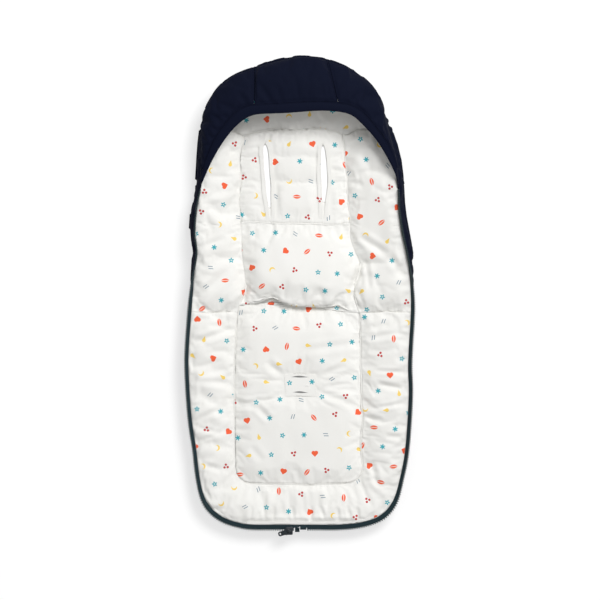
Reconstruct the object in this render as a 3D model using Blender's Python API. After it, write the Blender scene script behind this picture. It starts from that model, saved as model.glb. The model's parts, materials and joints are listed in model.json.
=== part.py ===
"""Stroller footmuff lying open on its back, with the front cover zipped off.

+X is to the right, +Y towards the head and +Z up. Every length is in metres.
"""
import math
from functools import lru_cache

import bmesh
import bpy
import numpy as np
from mathutils import Matrix, Vector
from mathutils.bvhtree import BVHTree

# Driving sizes of the whole footmuff
BODY_WIDTH = 0.472
BODY_LENGTH = 0.983
FOOT_RIM_HEIGHT = 0.034
HIP_RIM_HEIGHT = 0.040
SHOULDER_RIM_HEIGHT = 0.054
HEAD_RIM_HEIGHT = 0.042
HOOD_HEIGHT = 0.106
HOOD_CORNER_RISE = 0.009

# Clearances and overruns
FIT_GAP = 0.0003
SOFT_GAP = 0.0008
QUILT_GAP = 0.0026
SEAM_GAP = 0.0004
BORDER_GAP = 0.0018
CUT_OVERRUN = 0.004

# Layers from the floor up
SHELL_THICKNESS = 0.0022
WADDING_THICKNESS = 0.0088
LINER_THICKNESS = 0.0085
WALL_REACH = 0.095
WALL_CURVE_SHARE = 2.1
GUSSET_THICKNESS = 0.0022
GUSSET_TOP_REACH = 0.0030

# Crowns of the padded pieces above their seams
SEAT_CROWN = 0.0065
BORDER_CROWN = 0.0060
WING_CROWN = 0.0080
PILLOW_CROWN = 0.0190
BACK_CROWN = 0.0070
HEAD_LINER_CROWN = 0.0040

# Gusset swell beyond the seam line, by part of the body
FOOT_SWELL = 0.0020
SIDE_SWELL = 0.0050
SHOULDER_SWELL = 0.0125
HEAD_SWELL = 0.0060

# Hood
HOOD_THICKNESS = 0.0050
HOOD_SWELL = 0.046
HOOD_PUFF = 0.0035
HOOD_LINING_THICKNESS = 0.0015
BAND_THICKNESS = 0.0060
BAND_GAP = 0.0011
BAND_EDGE_THICKNESS = 0.0022

# Harness and crotch slots
HARNESS_SLOT_LENGTH = 0.164
HARNESS_SLOT_WIDTH = 0.0135
CROTCH_SLOT_LENGTH = 0.040
CROTCH_SLOT_WIDTH = 0.0070
CROTCH_SLOT_SPACING = 0.0302
FACING_WIDTH = 0.0075
FACING_THICKNESS = 0.0010
CROTCH_FACING_LENGTH = 0.066
CROTCH_FACING_MARGIN = 0.0040
PATCH_LENGTH = 0.180
PATCH_WIDTH = 0.240
PATCH_THICKNESS = 0.0010
PIPING_RADIUS = 0.0012

# Zip
TAPE_WIDTH = 0.0052
TAPE_THICKNESS = 0.0008
TOOTH_PITCH = 0.0046
TOOTH_REACH = 0.0030
TOOTH_THICKNESS = 0.0030
CHAIN_CORE_WIDTH = 0.0018
BOX_LENGTH = 0.0094
BOX_WIDTH = 0.0090
BOX_THICKNESS = 0.0046
PIN_LENGTH = 0.0130
PIN_WIDTH = 0.0024
STOP_LENGTH = 0.0040
SLIDER_LENGTH = 0.0146
SLIDER_PLATE_THICKNESS = 0.0013
SLIDER_WALL = 0.0012
SLIDER_POST_WIDTH = 0.0030
SLIDER_CLEARANCE = 0.00035
SLIDER_PARK_GAP = 0.0045
ARCH_INSIDE_LENGTH = 0.0056
ARCH_INSIDE_HEIGHT = 0.0032
ARCH_BAR = 0.0013
PULL_LENGTH = 0.0240
PULL_WIDTH = 0.0090
PULL_THICKNESS = 0.0016
PULL_WALL = 0.0014
PULL_EYE_LENGTH = 0.0052
PULL_HOLE_RADIUS = 0.0014
PULL_TURN = math.radians(18)
PULL_SIDE_SHARES = [(0.34, 1.0), (0.45, 0.72), (0.88, 0.72), (1.0, 0.42)]
PULL_HOLE_SHARE = 0.82

HALF_WIDTH = BODY_WIDTH / 2
HALF_LENGTH = BODY_LENGTH / 2
SEAM_HEIGHT = SHELL_THICKNESS + WADDING_THICKNESS + LINER_THICKNESS + FIT_GAP + QUILT_GAP

# Seam line round the body from the head centre over the left side to the foot
# and back over the right side, in shares of the half width and half length
SEAM_LINE_SHARES = [
    (0.00, 0.985), (-0.25, 0.965), (-0.50, 0.926), (-0.66, 0.879), (-0.762, 0.814),
    (-0.824, 0.743), (-0.843, 0.653), (-0.856, 0.545), (-0.868, 0.460), (-0.905, 0.366),
    (-0.919, 0.264), (-0.902, 0.187), (-0.932, 0.081), (-0.949, -0.031), (-0.962, -0.112),
    (-0.978, -0.224), (-0.980, -0.305), (-0.966, -0.437), (-0.945, -0.545), (-0.911, -0.651),
    (-0.888, -0.749), (-0.852, -0.833), (-0.782, -0.894), (-0.660, -0.938), (-0.500, -0.961),
    (-0.400, -0.966), (-0.280, -0.966), (-0.140, -0.966), (0.00, -0.966), (0.17, -0.966), (0.34, -0.966),
    (0.53, -0.957), (0.690, -0.932), (0.785, -0.892), (0.845, -0.838), (0.884, -0.765),
    (0.921, -0.678), (0.945, -0.560), (0.961, -0.407), (0.954, -0.301), (0.962, -0.203),
    (0.975, -0.102), (0.979, -0.020), (0.966, 0.092), (0.930, 0.193), (0.894, 0.272),
    (0.866, 0.366), (0.858, 0.460), (0.842, 0.560), (0.798, 0.648), (0.742, 0.736),
    (0.695, 0.810), (0.616, 0.866), (0.520, 0.912), (0.385, 0.953), (0.20, 0.982),
]
# The hood band's outer seam and inner edge, from the left corner to the right
BAND_SEAM_SHARES = [
    (-0.868, 0.500), (-0.860, 0.535), (-0.813, 0.594), (-0.747, 0.664), (-0.650, 0.732),
    (-0.555, 0.781), (-0.460, 0.804), (-0.219, 0.811), (0.158, 0.820), (0.375, 0.814),
    (0.496, 0.799), (0.590, 0.761), (0.698, 0.696), (0.793, 0.633), (0.848, 0.567),
    (0.860, 0.505),
]
BAND_EDGE_SHARES = [
    (-0.862, 0.474), (-0.801, 0.541), (-0.731, 0.606), (-0.623, 0.683), (-0.516, 0.735),
    (-0.440, 0.758), (-0.354, 0.767), (-0.113, 0.771), (0.186, 0.781), (0.375, 0.774),
    (0.460, 0.762), (0.564, 0.716), (0.672, 0.658), (0.766, 0.586), (0.840, 0.515),
    (0.858, 0.478),
]
HOOD_SEAM_LEFT_SHARES = (-0.394, -0.401)
HOOD_SEAM_RIGHT_SHARES = (0.253, 0.334)
HOOD_END_SHARE = 0.545
HOOD_CORNER_SHARE_OF_BAND = 0.03
HOOD_LINING_START_SHARE = 0.5
HOOD_FULL_SHARE = 0.35
BAND_FRONT_SHARE = 0.75
HOOD_TAPER_SHARE = 0.16
HOOD_HANDLE_SHARES = (0.45, 0.55)

# Rows of (place along the length, value) shares
HIP_SHARE = -0.069
FOOT_END_SHARE = -0.9
HEAD_END_SHARE = 0.8
SIDE_SHARE = 0.55
WADDING_END_SHARES = (-0.93, 0.88, 0.93)
PILLOW_LIP_SHARE = 0.26
BACK_FOOT_SHARE = 0.311
BACK_HEAD_SHARE = 0.702
HEAD_LINER_END_SHARE = 0.963
SEAT_FOOT_SHARE = -0.795
LEFT_SEAM_SHARES = [(-0.65, -0.584), (-0.35, -0.576), (-0.069, -0.555), (0.02, -0.496),
                    (0.12, -0.502), (0.311, -0.527), (0.55, -0.534), (0.702, -0.517)]
RIGHT_SEAM_SHARES = [(-0.65, 0.548), (-0.35, 0.540), (-0.069, 0.525), (0.02, 0.478),
                     (0.14, 0.540), (0.25, 0.441), (0.55, 0.411), (0.702, 0.386)]
HARNESS_SLOT_LEFT_SHARES = (-0.2815, 0.482)
HARNESS_SLOT_RIGHT_SHARES = (0.2094, 0.482)
HARNESS_SLOT_LEAN = math.radians(4.2)
CROTCH_SLOT_SHARES = (0.005, -0.3765)
BACK_CHANNEL_SHARES = (0.0, 0.46, 0.71, 1.0)
SEAT_CORNER_RADIUS = 0.034

# Zip along the seam line
HIP_AXIS_RISE = 0.0105
ZIP_TOP_SHARE = 0.452
TAPE_TURN_SIDE = math.radians(45)
TAPE_TURN_LEFT = math.radians(82)
TAPE_TURN_RIGHT = math.radians(74)
TAPE_LEVEL = FIT_GAP + TAPE_THICKNESS / 2
CHAIN_NEAR = 3 * FIT_GAP + TAPE_WIDTH
CHAIN_VALLEY = CHAIN_NEAR + CHAIN_CORE_WIDTH
CHAIN_TIP = CHAIN_VALLEY + TOOTH_REACH
CHAIN_GAP = 2 * FIT_GAP
TOOTH_TIP_SHARES = (0.22, 0.78)
PIPING_ENDS_SHARES = (-0.47, 0.62)

# Pieces above the hip fold whose names do not end in upper
BACKREST_NAMES = (
    "wing_left", "wing_right", "lumbar_pillow", "back_panel", "head_liner",
    "harness_slot_facing_left", "harness_slot_facing_right", "hood_left_panel",
    "hood_centre_panel", "hood_right_panel", "hood_lining", "hood_edge_band",
    "zip_top_stop_left", "zip_top_stop_right",
)

# Colours as linear red, green, blue, with roughness
NAVY = ((0.0086, 0.0105, 0.0240), 0.82)
LINER_WHITE = ((0.870, 0.868, 0.850), 0.90)
LINER_SHADE = ((0.780, 0.775, 0.740), 0.92)
WADDING_WHITE = ((0.750, 0.750, 0.730), 0.95)
ZIP_TEAL = ((0.0130, 0.0330, 0.0420), 0.70)
TOOTH_TEAL = ((0.0110, 0.0270, 0.0350), 0.38)
SLIDER_NAVY = ((0.0080, 0.0110, 0.0200), 0.30)
GRIP_GREY = ((0.0300, 0.0310, 0.0340), 0.85)


def clear_scene():
    """Remove what the start-up scene holds."""
    for item in list(bpy.data.objects):
        bpy.data.objects.remove(item, do_unlink=True)


def material(name, finish):
    """A plain surface of one colour and roughness."""
    colour, roughness = finish
    made = bpy.data.materials.get(name) or bpy.data.materials.new(name)
    made.use_nodes = True
    shader = made.node_tree.nodes["Principled BSDF"]
    shader.inputs["Base Color"].default_value = (*colour, 1.0)
    shader.inputs["Roughness"].default_value = roughness
    made.diffuse_color = (*colour, 1.0)
    return made


def ease(share):
    """A smooth step from 0 to 1."""
    share = min(max(share, 0.0), 1.0)
    return share * share * (3 - 2 * share)


def eased_table(rows, place):
    """Read a table of (place, value) rows with a smooth step between rows."""
    if place <= rows[0][0]:
        return rows[0][1]
    for (start, low), (end, high) in zip(rows, rows[1:]):
        if place <= end:
            return low + (high - low) * ease((place - start) / (end - start))
    return rows[-1][1]


def spline(corners, closed, steps=12):
    """Points of a smooth curve through the corners, all in one plane."""
    corners = [np.array(corner, float) for corner in corners]
    count = len(corners)
    spans = count if closed else count - 1
    points = []
    for span in range(spans):
        if closed:
            before, start, end, after = (corners[(span + k - 1) % count] for k in range(4))
        else:
            start, end = corners[span], corners[span + 1]
            before = corners[span - 1] if span else 2 * start - end
            after = corners[span + 2] if span + 2 < count else 2 * end - start
        for step in range(steps):
            t = step / steps
            points.append(0.5 * (2 * start + (end - before) * t
                                 + (2 * before - 5 * start + 4 * end - after) * t ** 2
                                 + (3 * start - before - 3 * end + after) * t ** 3))
    points.append(corners[0] if closed else corners[-1])
    return np.array(points)


def from_shares(shares):
    """Plan points from shares of the half width and the half length."""
    return [(x * HALF_WIDTH, y * HALF_LENGTH) for x, y in shares]


class Track:
    """A line in plan, read by the distance walked along it."""

    def __init__(self, shares, closed):
        self.points = spline(from_shares(shares), closed)
        steps = np.linalg.norm(np.diff(self.points, axis=0), axis=1)
        self.walked = np.concatenate([[0.0], np.cumsum(steps)])
        self.length = self.walked[-1]
        self.closed = closed

    def point(self, walk):
        """The plan point at a walked distance."""
        if self.closed:
            walk = walk % self.length
        return np.array([np.interp(walk, self.walked, self.points[:, k]) for k in range(2)])

    def outward(self, walk):
        """The unit normal that points out of the body."""
        step = self.length / len(self.points)
        along = self.point(walk + step) - self.point(walk - step)
        return np.array([along[1], -along[0]]) / np.linalg.norm(along)

    def place(self, walk, offset):
        """The plan point at a walked distance, moved outward by the offset."""
        return self.point(walk) + self.outward(walk) * offset

    def walk_where(self, axis, value, chosen):
        """The distance where a coordinate reaches a value, among the chosen points."""
        index = np.where(chosen)[0]
        order = index[np.argsort(self.points[index, axis])]
        return float(np.interp(value, self.points[order, axis], self.walked[order]))

    def inset(self, x, y):
        """How far a plan point lies from the line."""
        return float(np.min(np.hypot(self.points[:, 0] - x, self.points[:, 1] - y)))


SEAM = Track(SEAM_LINE_SHARES, closed=True)
BAND_SEAM = Track(BAND_SEAM_SHARES, closed=False)
BAND_EDGE = Track(BAND_EDGE_SHARES, closed=False)
HIP_Y = HIP_SHARE * HALF_LENGTH
LOW_END = SEAM.points[:, 1] < FOOT_END_SHARE * HALF_LENGTH
HIGH_END = SEAM.points[:, 1] > HEAD_END_SHARE * HALF_LENGTH
FOOT_WALK = SEAM.walk_where(0, 0.0, LOW_END)
SIDES = abs(SEAM.points[:, 0]) > SIDE_SHARE * HALF_WIDTH
LEFT_SIDE = SIDES & (SEAM.walked < FOOT_WALK)
RIGHT_SIDE = SIDES & (SEAM.walked > FOOT_WALK)


def left_walk(y):
    """Walked distance on the left side at a height up the body."""
    return SEAM.walk_where(1, y, LEFT_SIDE)


def right_walk(y):
    """Walked distance on the right side at a height up the body."""
    return SEAM.walk_where(1, y, RIGHT_SIDE)


def rim_height(y):
    """Height of the seam that carries the zip and the hood."""
    rows = [(-0.95, FOOT_RIM_HEIGHT), (HIP_SHARE, HIP_RIM_HEIGHT), (0.34, SHOULDER_RIM_HEIGHT),
            (0.50, SHOULDER_RIM_HEIGHT), (0.86, HEAD_RIM_HEIGHT)]
    return eased_table(rows, y / HALF_LENGTH)


def gusset_swell(y):
    """How far the side wall swells past the seam line."""
    rows = [(-0.93, FOOT_SWELL), (-0.80, SIDE_SWELL), (-0.02, SIDE_SWELL),
            (0.30, SHOULDER_SWELL), (0.60, SHOULDER_SWELL), (0.90, HEAD_SWELL)]
    return eased_table(rows, y / HALF_LENGTH)


def bowl_height(x, y):
    """Level of the liner's seams: low in the middle and up to the rim at the edge."""
    climb = max(0.0, 1.0 - SEAM.inset(x, y) / WALL_REACH)
    return SEAM_HEIGHT + (rim_height(y) - SEAM_HEIGHT) * climb ** WALL_CURVE_SHARE


def drawn_in(share, fullness=3.0):
    """A crown that is full in the middle and drawn in to nothing at both seams."""
    return 1.0 - abs(2.0 * share - 1.0) ** fullness


def shade(item, angle=math.radians(40)):
    """Smooth shading with the sharp edges kept."""
    item.data.shade_smooth()
    item.data.set_sharp_from_angle(angle=angle)


def finish_object(name, mesh, made_of, smooth=True):
    """Put a mesh in the scene as one named piece."""
    item = bpy.data.objects.new(name, mesh)
    bpy.context.scene.collection.objects.link(item)
    mesh.materials.append(made_of)
    if smooth:
        shade(item)
    return item


def mesh_from(name, work):
    """Turn bmesh work into a mesh whose faces point out."""
    bmesh.ops.recalc_face_normals(work, faces=work.faces)
    mesh = bpy.data.meshes.new(name)
    work.to_mesh(mesh)
    work.free()
    return mesh


def slab(name, upper, lower, made_of, ring=False):
    """A closed solid between two grids of points; a ring closes on itself along its rows."""
    work = bmesh.new()
    top = [[work.verts.new(point) for point in row] for row in upper]
    bottom = [[work.verts.new(point) for point in row] for row in lower]
    rows, columns = len(top), len(top[0])
    spans = range(rows if ring else rows - 1)
    for row in spans:
        after = (row + 1) % rows
        for column in range(columns - 1):
            work.faces.new((top[row][column], top[row][column + 1],
                            top[after][column + 1], top[after][column]))
            work.faces.new((bottom[row][column], bottom[after][column],
                            bottom[after][column + 1], bottom[row][column + 1]))
        for column in (0, columns - 1):
            work.faces.new((top[row][column], top[after][column],
                            bottom[after][column], bottom[row][column]))
    if not ring:
        for row in (0, rows - 1):
            for column in range(columns - 1):
                work.faces.new((top[row][column], top[row][column + 1],
                                bottom[row][column + 1], bottom[row][column]))
    return finish_object(name, mesh_from(name, work), made_of)


def prism(name, outline, low, high, made_of, smooth=False):
    """A flat outline pulled up between two heights."""
    work = bmesh.new()
    face = work.faces.new([work.verts.new((x, y, low)) for x, y in outline])
    raised = bmesh.ops.extrude_face_region(work, geom=[face])
    lifted = [item for item in raised["geom"] if isinstance(item, bmesh.types.BMVert)]
    bmesh.ops.translate(work, verts=lifted, vec=(0, 0, high - low))
    return finish_object(name, mesh_from(name, work), made_of, smooth)


def hide_helper(item):
    """Keep a cutter out of the finished model."""
    item.hide_render = True
    item.display_type = "WIRE"
    return item


def combine(item, helper, operation="DIFFERENCE"):
    """Cut or join a helper solid."""
    change = item.modifiers.new(helper.name, "BOOLEAN")
    change.operation = operation
    change.solver = "EXACT"
    change.object = hide_helper(helper)


def seam_x(rows, y):
    """Sideways place of a liner seam at a height up the body."""
    return eased_table(rows, y / HALF_LENGTH) * HALF_WIDTH


def rim_x(side, y, inset=0.0):
    """Sideways place of the seam line on one side, moved inward."""
    walk = left_walk(y) if side < 0 else right_walk(y)
    return SEAM.place(walk, -inset)[0]


def lining_slab(name, rows, crown, profile, made_of=None):
    """A padded liner piece over plan rows, crowned above the bowl by its profile."""
    upper, lower = [], []
    for b, row in enumerate(rows):
        along = b / (len(rows) - 1)
        top, under = [], []
        for a, (x, y) in enumerate(row):
            level = bowl_height(x, y)
            across = a / (len(row) - 1)
            top.append((x, y, level + crown * profile(across, along)))
            under.append((x, y, level - LINER_THICKNESS))
        upper.append(top)
        lower.append(under)
    return slab(name, upper, lower, made_of or material("liner_white", LINER_WHITE))


def plan_rows(levels, left, right, columns):
    """Rows of plan points across the body, from a left edge to a right edge."""
    return [[(left(y) + (right(y) - left(y)) * a / (columns - 1), y) for a in range(columns)]
            for y in levels]


def spread(start, end, count):
    """Evenly spread places, both ends included."""
    return [start + (end - start) * k / (count - 1) for k in range(count)]


def seat_edge(side, y):
    """Outer edge of the seat panel, rounded in at the foot."""
    rows = LEFT_SEAM_SHARES if side < 0 else RIGHT_SEAM_SHARES
    straight = seam_x(rows, y)
    foot = SEAT_FOOT_SHARE * HALF_LENGTH
    above = y - foot
    if above >= SEAT_CORNER_RADIUS:
        return straight
    drop = SEAT_CORNER_RADIUS - above
    pull = SEAT_CORNER_RADIUS - math.sqrt(max(SEAT_CORNER_RADIUS ** 2 - drop ** 2, 0.0))
    return straight - side * pull


def seat_outline(count):
    """Plan points of the seat seam from the left hip round the foot to the right hip."""
    foot = SEAT_FOOT_SHARE * HALF_LENGTH
    drops = [0.0, 0.08, 0.22, 0.42, 0.68, 1.0]
    corner = [foot + SEAT_CORNER_RADIUS * (1 - math.cos(drop * math.pi / 2)) for drop in drops]
    sides = spread(HIP_Y - SEAM_GAP, foot + SEAT_CORNER_RADIUS, 14)
    left = [(seat_edge(-1, y), y) for y in sides + corner[-2::-1]]
    right = [(seat_edge(1, y), y) for y in sides + corner[-2::-1]]
    line = np.array(left + right[::-1])
    walked = np.concatenate([[0], np.cumsum(np.linalg.norm(np.diff(line, axis=0), axis=1))])
    return [np.array([np.interp(walked[-1] * k / (count - 1), walked, line[:, axis])
                      for axis in range(2)]) for k in range(count)]


def back_shells():
    """The two halves of the outer shell's floor, joined at the hip fold."""
    navy = material("navy_softshell", NAVY)
    left, right = left_walk(HIP_Y), right_walk(HIP_Y)
    low = [tuple(SEAM.place(walk, 0.0)) for walk in spread(left, right, 57)]
    high = [tuple(SEAM.place(walk, 0.0)) for walk in spread(right, left + SEAM.length, 57)]
    low = [(x, min(y, HIP_Y - FIT_GAP / 2)) for x, y in low]
    high = [(x, max(y, HIP_Y + FIT_GAP / 2)) for x, y in high]
    seat = prism("back_shell_lower", low, 0.0, SHELL_THICKNESS, navy)
    back = prism("back_shell_upper", high, 0.0, SHELL_THICKNESS, navy)
    return seat, back


def grip_patch(shell):
    """A non-slip patch let into the underside of the seat."""
    middle = Vector((0.0, CROTCH_SLOT_SHARES[1] * HALF_LENGTH / 2 + HIP_Y / 2))
    pocket = rounded_rectangle(PATCH_WIDTH + 2 * FIT_GAP, PATCH_LENGTH / 2 + 2 * FIT_GAP,
                               SEAT_CORNER_RADIUS / 4, middle)
    outline = rounded_rectangle(PATCH_WIDTH, PATCH_LENGTH / 2, SEAT_CORNER_RADIUS / 4, middle)
    cutter = prism("grip_pocket_cutter", pocket, -CUT_OVERRUN, PATCH_THICKNESS + FIT_GAP,
                   material("navy_softshell", NAVY))
    combine(shell, cutter)
    prism("grip_patch", outline, 0.0, PATCH_THICKNESS, material("grip_grey", GRIP_GREY))


def rounded_rectangle(width, length, radius, middle, steps=4):
    """Plan points of a rectangle with round corners."""
    points = []
    for turn, (sx, sy) in enumerate([(1, 1), (-1, 1), (-1, -1), (1, -1)]):
        centre = (middle[0] + sx * (width / 2 - radius), middle[1] + sy * (length / 2 - radius))
        for step in range(steps + 1):
            angle = math.pi / 2 * (turn + step / steps)
            points.append((centre[0] + radius * math.cos(angle),
                           centre[1] + radius * math.sin(angle)))
    return points


def waddings():
    """The padding between the shell and the liner, cut across at the hip fold."""
    white = material("wadding_white", WADDING_WHITE)
    edge = GUSSET_THICKNESS + 5 * SOFT_GAP
    foot = SEAM.point(FOOT_WALK)[1] + edge
    head = HEAD_LINER_END_SHARE * HALF_LENGTH
    ends = [share * HALF_LENGTH for share in WADDING_END_SHARES]
    low = [foot + edge / 4, foot + edge] + spread(ends[0], HIP_Y - FIT_GAP / 2, 12)
    high = spread(HIP_Y + FIT_GAP / 2, ends[1], 12) + [ends[2], head - edge]
    made = []
    for name, levels in (("wadding_lower", low), ("wadding_upper", high)):
        rows = plan_rows(levels, lambda y: wall_x(-1, y, edge), lambda y: wall_x(1, y, edge), 15)
        under = SHELL_THICKNESS + FIT_GAP
        upper = [[(x, y, bowl_height(x, y) - LINER_THICKNESS - QUILT_GAP) for x, y in row]
                 for row in rows]
        lower = [[(x, y, under) for x, y in row] for row in rows]
        made.append(slab(name, upper, lower, white))
    return made


@lru_cache
def wall_line(side, inset):
    """Points up one side of a line that runs inside the seam line all round."""
    points = np.array([SEAM.place(walk, -inset) for walk in SEAM.walked[:-1:2]])
    points = points[points[:, 0] * side > 0]
    return points[np.argsort(points[:, 1])]


def wall_x(side, y, inset):
    """Sideways place of the inside line at a height up the body."""
    line = wall_line(side, inset)
    return float(np.interp(y, line[:, 1], line[:, 0]))


def seat_panel():
    """The padded seat with a crown and a rounded foot end."""
    foot = SEAT_FOOT_SHARE * HALF_LENGTH
    levels = [foot + SEAT_CORNER_RADIUS * share for share in (0.0, 0.08, 0.25, 0.55, 1.0)]
    levels += spread(foot + 1.8 * SEAT_CORNER_RADIUS, HIP_Y - SEAM_GAP, 12)
    rows = plan_rows(levels, lambda y: seat_edge(-1, y) + SEAM_GAP,
                     lambda y: seat_edge(1, y) - SEAM_GAP, 13)

    def crown(across, along):
        return drawn_in(across, 4.0) * min(1.0, 0.15 + 5.0 * along) * (1.0 - 0.35 * along ** 6)

    return lining_slab("seat_panel", rows, SEAT_CROWN, crown)


def seat_border():
    """The padded border that runs from hip to hip round the foot."""
    count = 53
    left, right = left_walk(HIP_Y), right_walk(HIP_Y)
    inner = seat_outline(count)
    rows = []
    for k, walk in enumerate(spread(left, right, count)):
        outer = SEAM.place(walk, -SEAM_GAP)
        row = [inner[k] + (outer - inner[k]) * a / 6 for a in range(7)]
        along = inner[min(k + 1, count - 1)] - inner[max(k - 1, 0)]
        row[0] = row[0] + np.array([along[1], -along[0]]) / np.linalg.norm(along) * BORDER_GAP
        rows.append([(x, min(y, HIP_Y - SEAM_GAP)) for x, y in row])

    def crown(across, along):
        return drawn_in(across) * (0.85 + 0.15 * math.cos(10 * math.pi * along))

    return lining_slab("seat_border", rows, BORDER_CROWN, crown)


def wing(name, side):
    """One padded side wing of the backrest, from the hip to under the hood."""
    seam = LEFT_SEAM_SHARES if side < 0 else RIGHT_SEAM_SHARES
    levels = pillow_levels() + back_levels()[2::2]
    inner = (lambda y: seam_x(seam, y) + side * SEAM_GAP)
    outer = (lambda y: rim_x(side, y, SEAM_GAP))
    rows = plan_rows(levels, inner, outer, 7) if side > 0 else plan_rows(levels, outer, inner, 7)

    def crown(across, along):
        return drawn_in(across, 2.4) * min(1.0, 0.1 + 6 * along) * (0.8 + 0.2 * math.cos(6 * along))

    return lining_slab(name, rows, WING_CROWN, crown)


def pillow_lip(along):
    """The pillow's profile up the body: a round overhanging lip, then a long fall."""
    lip = PILLOW_LIP_SHARE
    if along < lip:
        return math.sqrt(max(0.0, 1.0 - (1.0 - along / lip) ** 2))
    return 0.12 + 0.88 * math.cos((along - lip) / (1 - lip) * math.pi / 2) ** 1.5


def pillow_levels():
    """Places up the body of the pillow's rows, close together at its lip."""
    end = BACK_FOOT_SHARE * HALF_LENGTH - SEAM_GAP
    start = HIP_Y + SEAM_GAP
    return [start + (end - start) * share
            for share in (0, 0.02, 0.06, 0.12, 0.2, 0.3, 0.42, 0.55, 0.68, 0.8, 0.9, 0.97, 1)]


def back_levels():
    """Places up the body of the back panel's rows."""
    return spread(BACK_FOOT_SHARE * HALF_LENGTH + SEAM_GAP,
                  BACK_HEAD_SHARE * HALF_LENGTH - SEAM_GAP, 19)


def lumbar_pillow():
    """The thick pillow above the hip fold."""
    levels = pillow_levels()
    start, end = levels[0], levels[-1]
    rows = plan_rows(levels, lambda y: seam_x(LEFT_SEAM_SHARES, y) + SEAM_GAP,
                     lambda y: seam_x(RIGHT_SEAM_SHARES, y) - SEAM_GAP, 13)

    def crown(across, along):
        along = (levels[round(along * 12)] - start) / (end - start)
        return drawn_in(across, 3.0) * pillow_lip(along)

    return lining_slab("lumbar_pillow", rows, PILLOW_CROWN, crown)


def back_channel(along):
    """The back panel's crown between its sewn cross channels."""
    for low, high in zip(BACK_CHANNEL_SHARES, BACK_CHANNEL_SHARES[1:]):
        if along <= high:
            return 0.45 + 0.55 * drawn_in((along - low) / (high - low), 2.4)
    return 0.45


def back_panel():
    """The padded back with cross channels, where the harness comes through."""
    rows = plan_rows(back_levels(), lambda y: seam_x(LEFT_SEAM_SHARES, y) + SEAM_GAP,
                     lambda y: seam_x(RIGHT_SEAM_SHARES, y) - SEAM_GAP, 13)
    return lining_slab("back_panel", rows, BACK_CROWN,
                       lambda across, along: drawn_in(across, 4.0) * back_channel(along))


def head_liner():
    """The liner's head end under the hood."""
    start = BACK_HEAD_SHARE * HALF_LENGTH + SEAM_GAP
    end = HEAD_LINER_END_SHARE * HALF_LENGTH
    levels = [start + (end - start) * share for share in (0, 0.15, 0.32, 0.5, 0.66, 0.8, 0.91, 1)]
    rows = plan_rows(levels, lambda y: wall_x(-1, y, SEAM_GAP), lambda y: wall_x(1, y, SEAM_GAP), 15)
    return lining_slab("head_liner", rows, HEAD_LINER_CROWN,
                       lambda across, along: drawn_in(across) * drawn_in(along),
                       material("liner_shade", LINER_SHADE))


def gusset(name, start, end, count):
    """A side wall strip that swells out between the shell floor and the rim."""
    upper, lower = [], []
    for walk in spread(start, end, count):
        y = SEAM.point(walk)[1]
        base, top = SHELL_THICKNESS + FIT_GAP, rim_height(y) - FIT_GAP
        swell = gusset_swell(y)
        outside, inside = [], []
        for share in (0.0, 0.22, 0.5, 0.78, 1.0):
            reach = GUSSET_TOP_REACH * share + swell * math.sin(math.pi * share)
            level = base + (top - base) * share
            outside.append((*SEAM.place(walk, reach), level))
            inside.append((*SEAM.place(walk, reach - GUSSET_THICKNESS), level))
        upper.append(outside)
        lower.append(inside)
    return slab(name, upper, lower, material("navy_softshell", NAVY))


def gussets():
    """Four side wall strips, met at the hip, the foot centre and the head centre."""
    half = FIT_GAP / 2
    left_low, left_high = left_walk(HIP_Y - half), left_walk(HIP_Y + half)
    right_low, right_high = right_walk(HIP_Y - half), right_walk(HIP_Y + half)
    gusset("side_gusset_left_lower", left_low, FOOT_WALK - half, 27)
    gusset("side_gusset_right_lower", FOOT_WALK + half, right_low, 27)
    gusset("side_gusset_left_upper", half, left_high, 23)
    gusset("side_gusset_right_upper", right_high, SEAM.length - half, 23)


def mouth_height(share):
    """Height of the hood's mouth from its left corner, 0, to its right, 1."""
    corner = SHOULDER_RIM_HEIGHT + HOOD_CORNER_RISE
    return corner + (HOOD_HEIGHT - corner) * max(math.sin(math.pi * share), 0.0) ** 0.75


def hood_section(walk, band_walk, columns, depth, puff):
    """One vertical section of the hood from the rim to the band's seam, at a depth inside."""
    foot = SEAM.place(walk, GUSSET_TOP_REACH - FIT_GAP)
    mouth = BAND_SEAM.point(band_walk)
    low = rim_height(foot[1]) + FIT_GAP
    high = mouth_height(band_walk / BAND_SEAM.length)
    run = mouth - foot
    forward = run / float(np.linalg.norm(run))
    distance = float(np.linalg.norm(run))
    if depth > HOOD_THICKNESS:
        distance = max(distance - depth, distance / 2)
    swell = HOOD_SWELL * math.sqrt(distance / (HOOD_FULL_SHARE * HALF_WIDTH))
    taper = min(1.0, distance / (HOOD_TAPER_SHARE * HALF_WIDTH))
    handles = [(0.0, low), (-swell, low + HOOD_HANDLE_SHARES[0] * (high - low)),
               (HOOD_HANDLE_SHARES[1] * distance, high), (distance, high)]
    points = []
    for column in range(columns):
        t = column / (columns - 1)
        weights = ((1 - t) ** 3, 3 * t * (1 - t) ** 2, 3 * t * t * (1 - t), t ** 3)
        slopes = (-3 * (1 - t) ** 2, 3 * (1 - t) ** 2 - 6 * t * (1 - t),
                  6 * t * (1 - t) - 3 * t * t, 3 * t * t)
        along = sum(w * h[0] for w, h in zip(weights, handles))
        level = sum(w * h[1] for w, h in zip(weights, handles))
        slope = Vector((sum(w * h[0] for w, h in zip(slopes, handles)),
                        sum(w * h[1] for w, h in zip(slopes, handles))))
        slope.normalize()
        normal = (-slope[1], slope[0])
        move = puff * math.sin(math.pi * t) - depth * taper
        along += normal[0] * move
        level = max(level + normal[1] * move, low)
        points.append((*(foot + forward * along), level))
    return points


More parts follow.
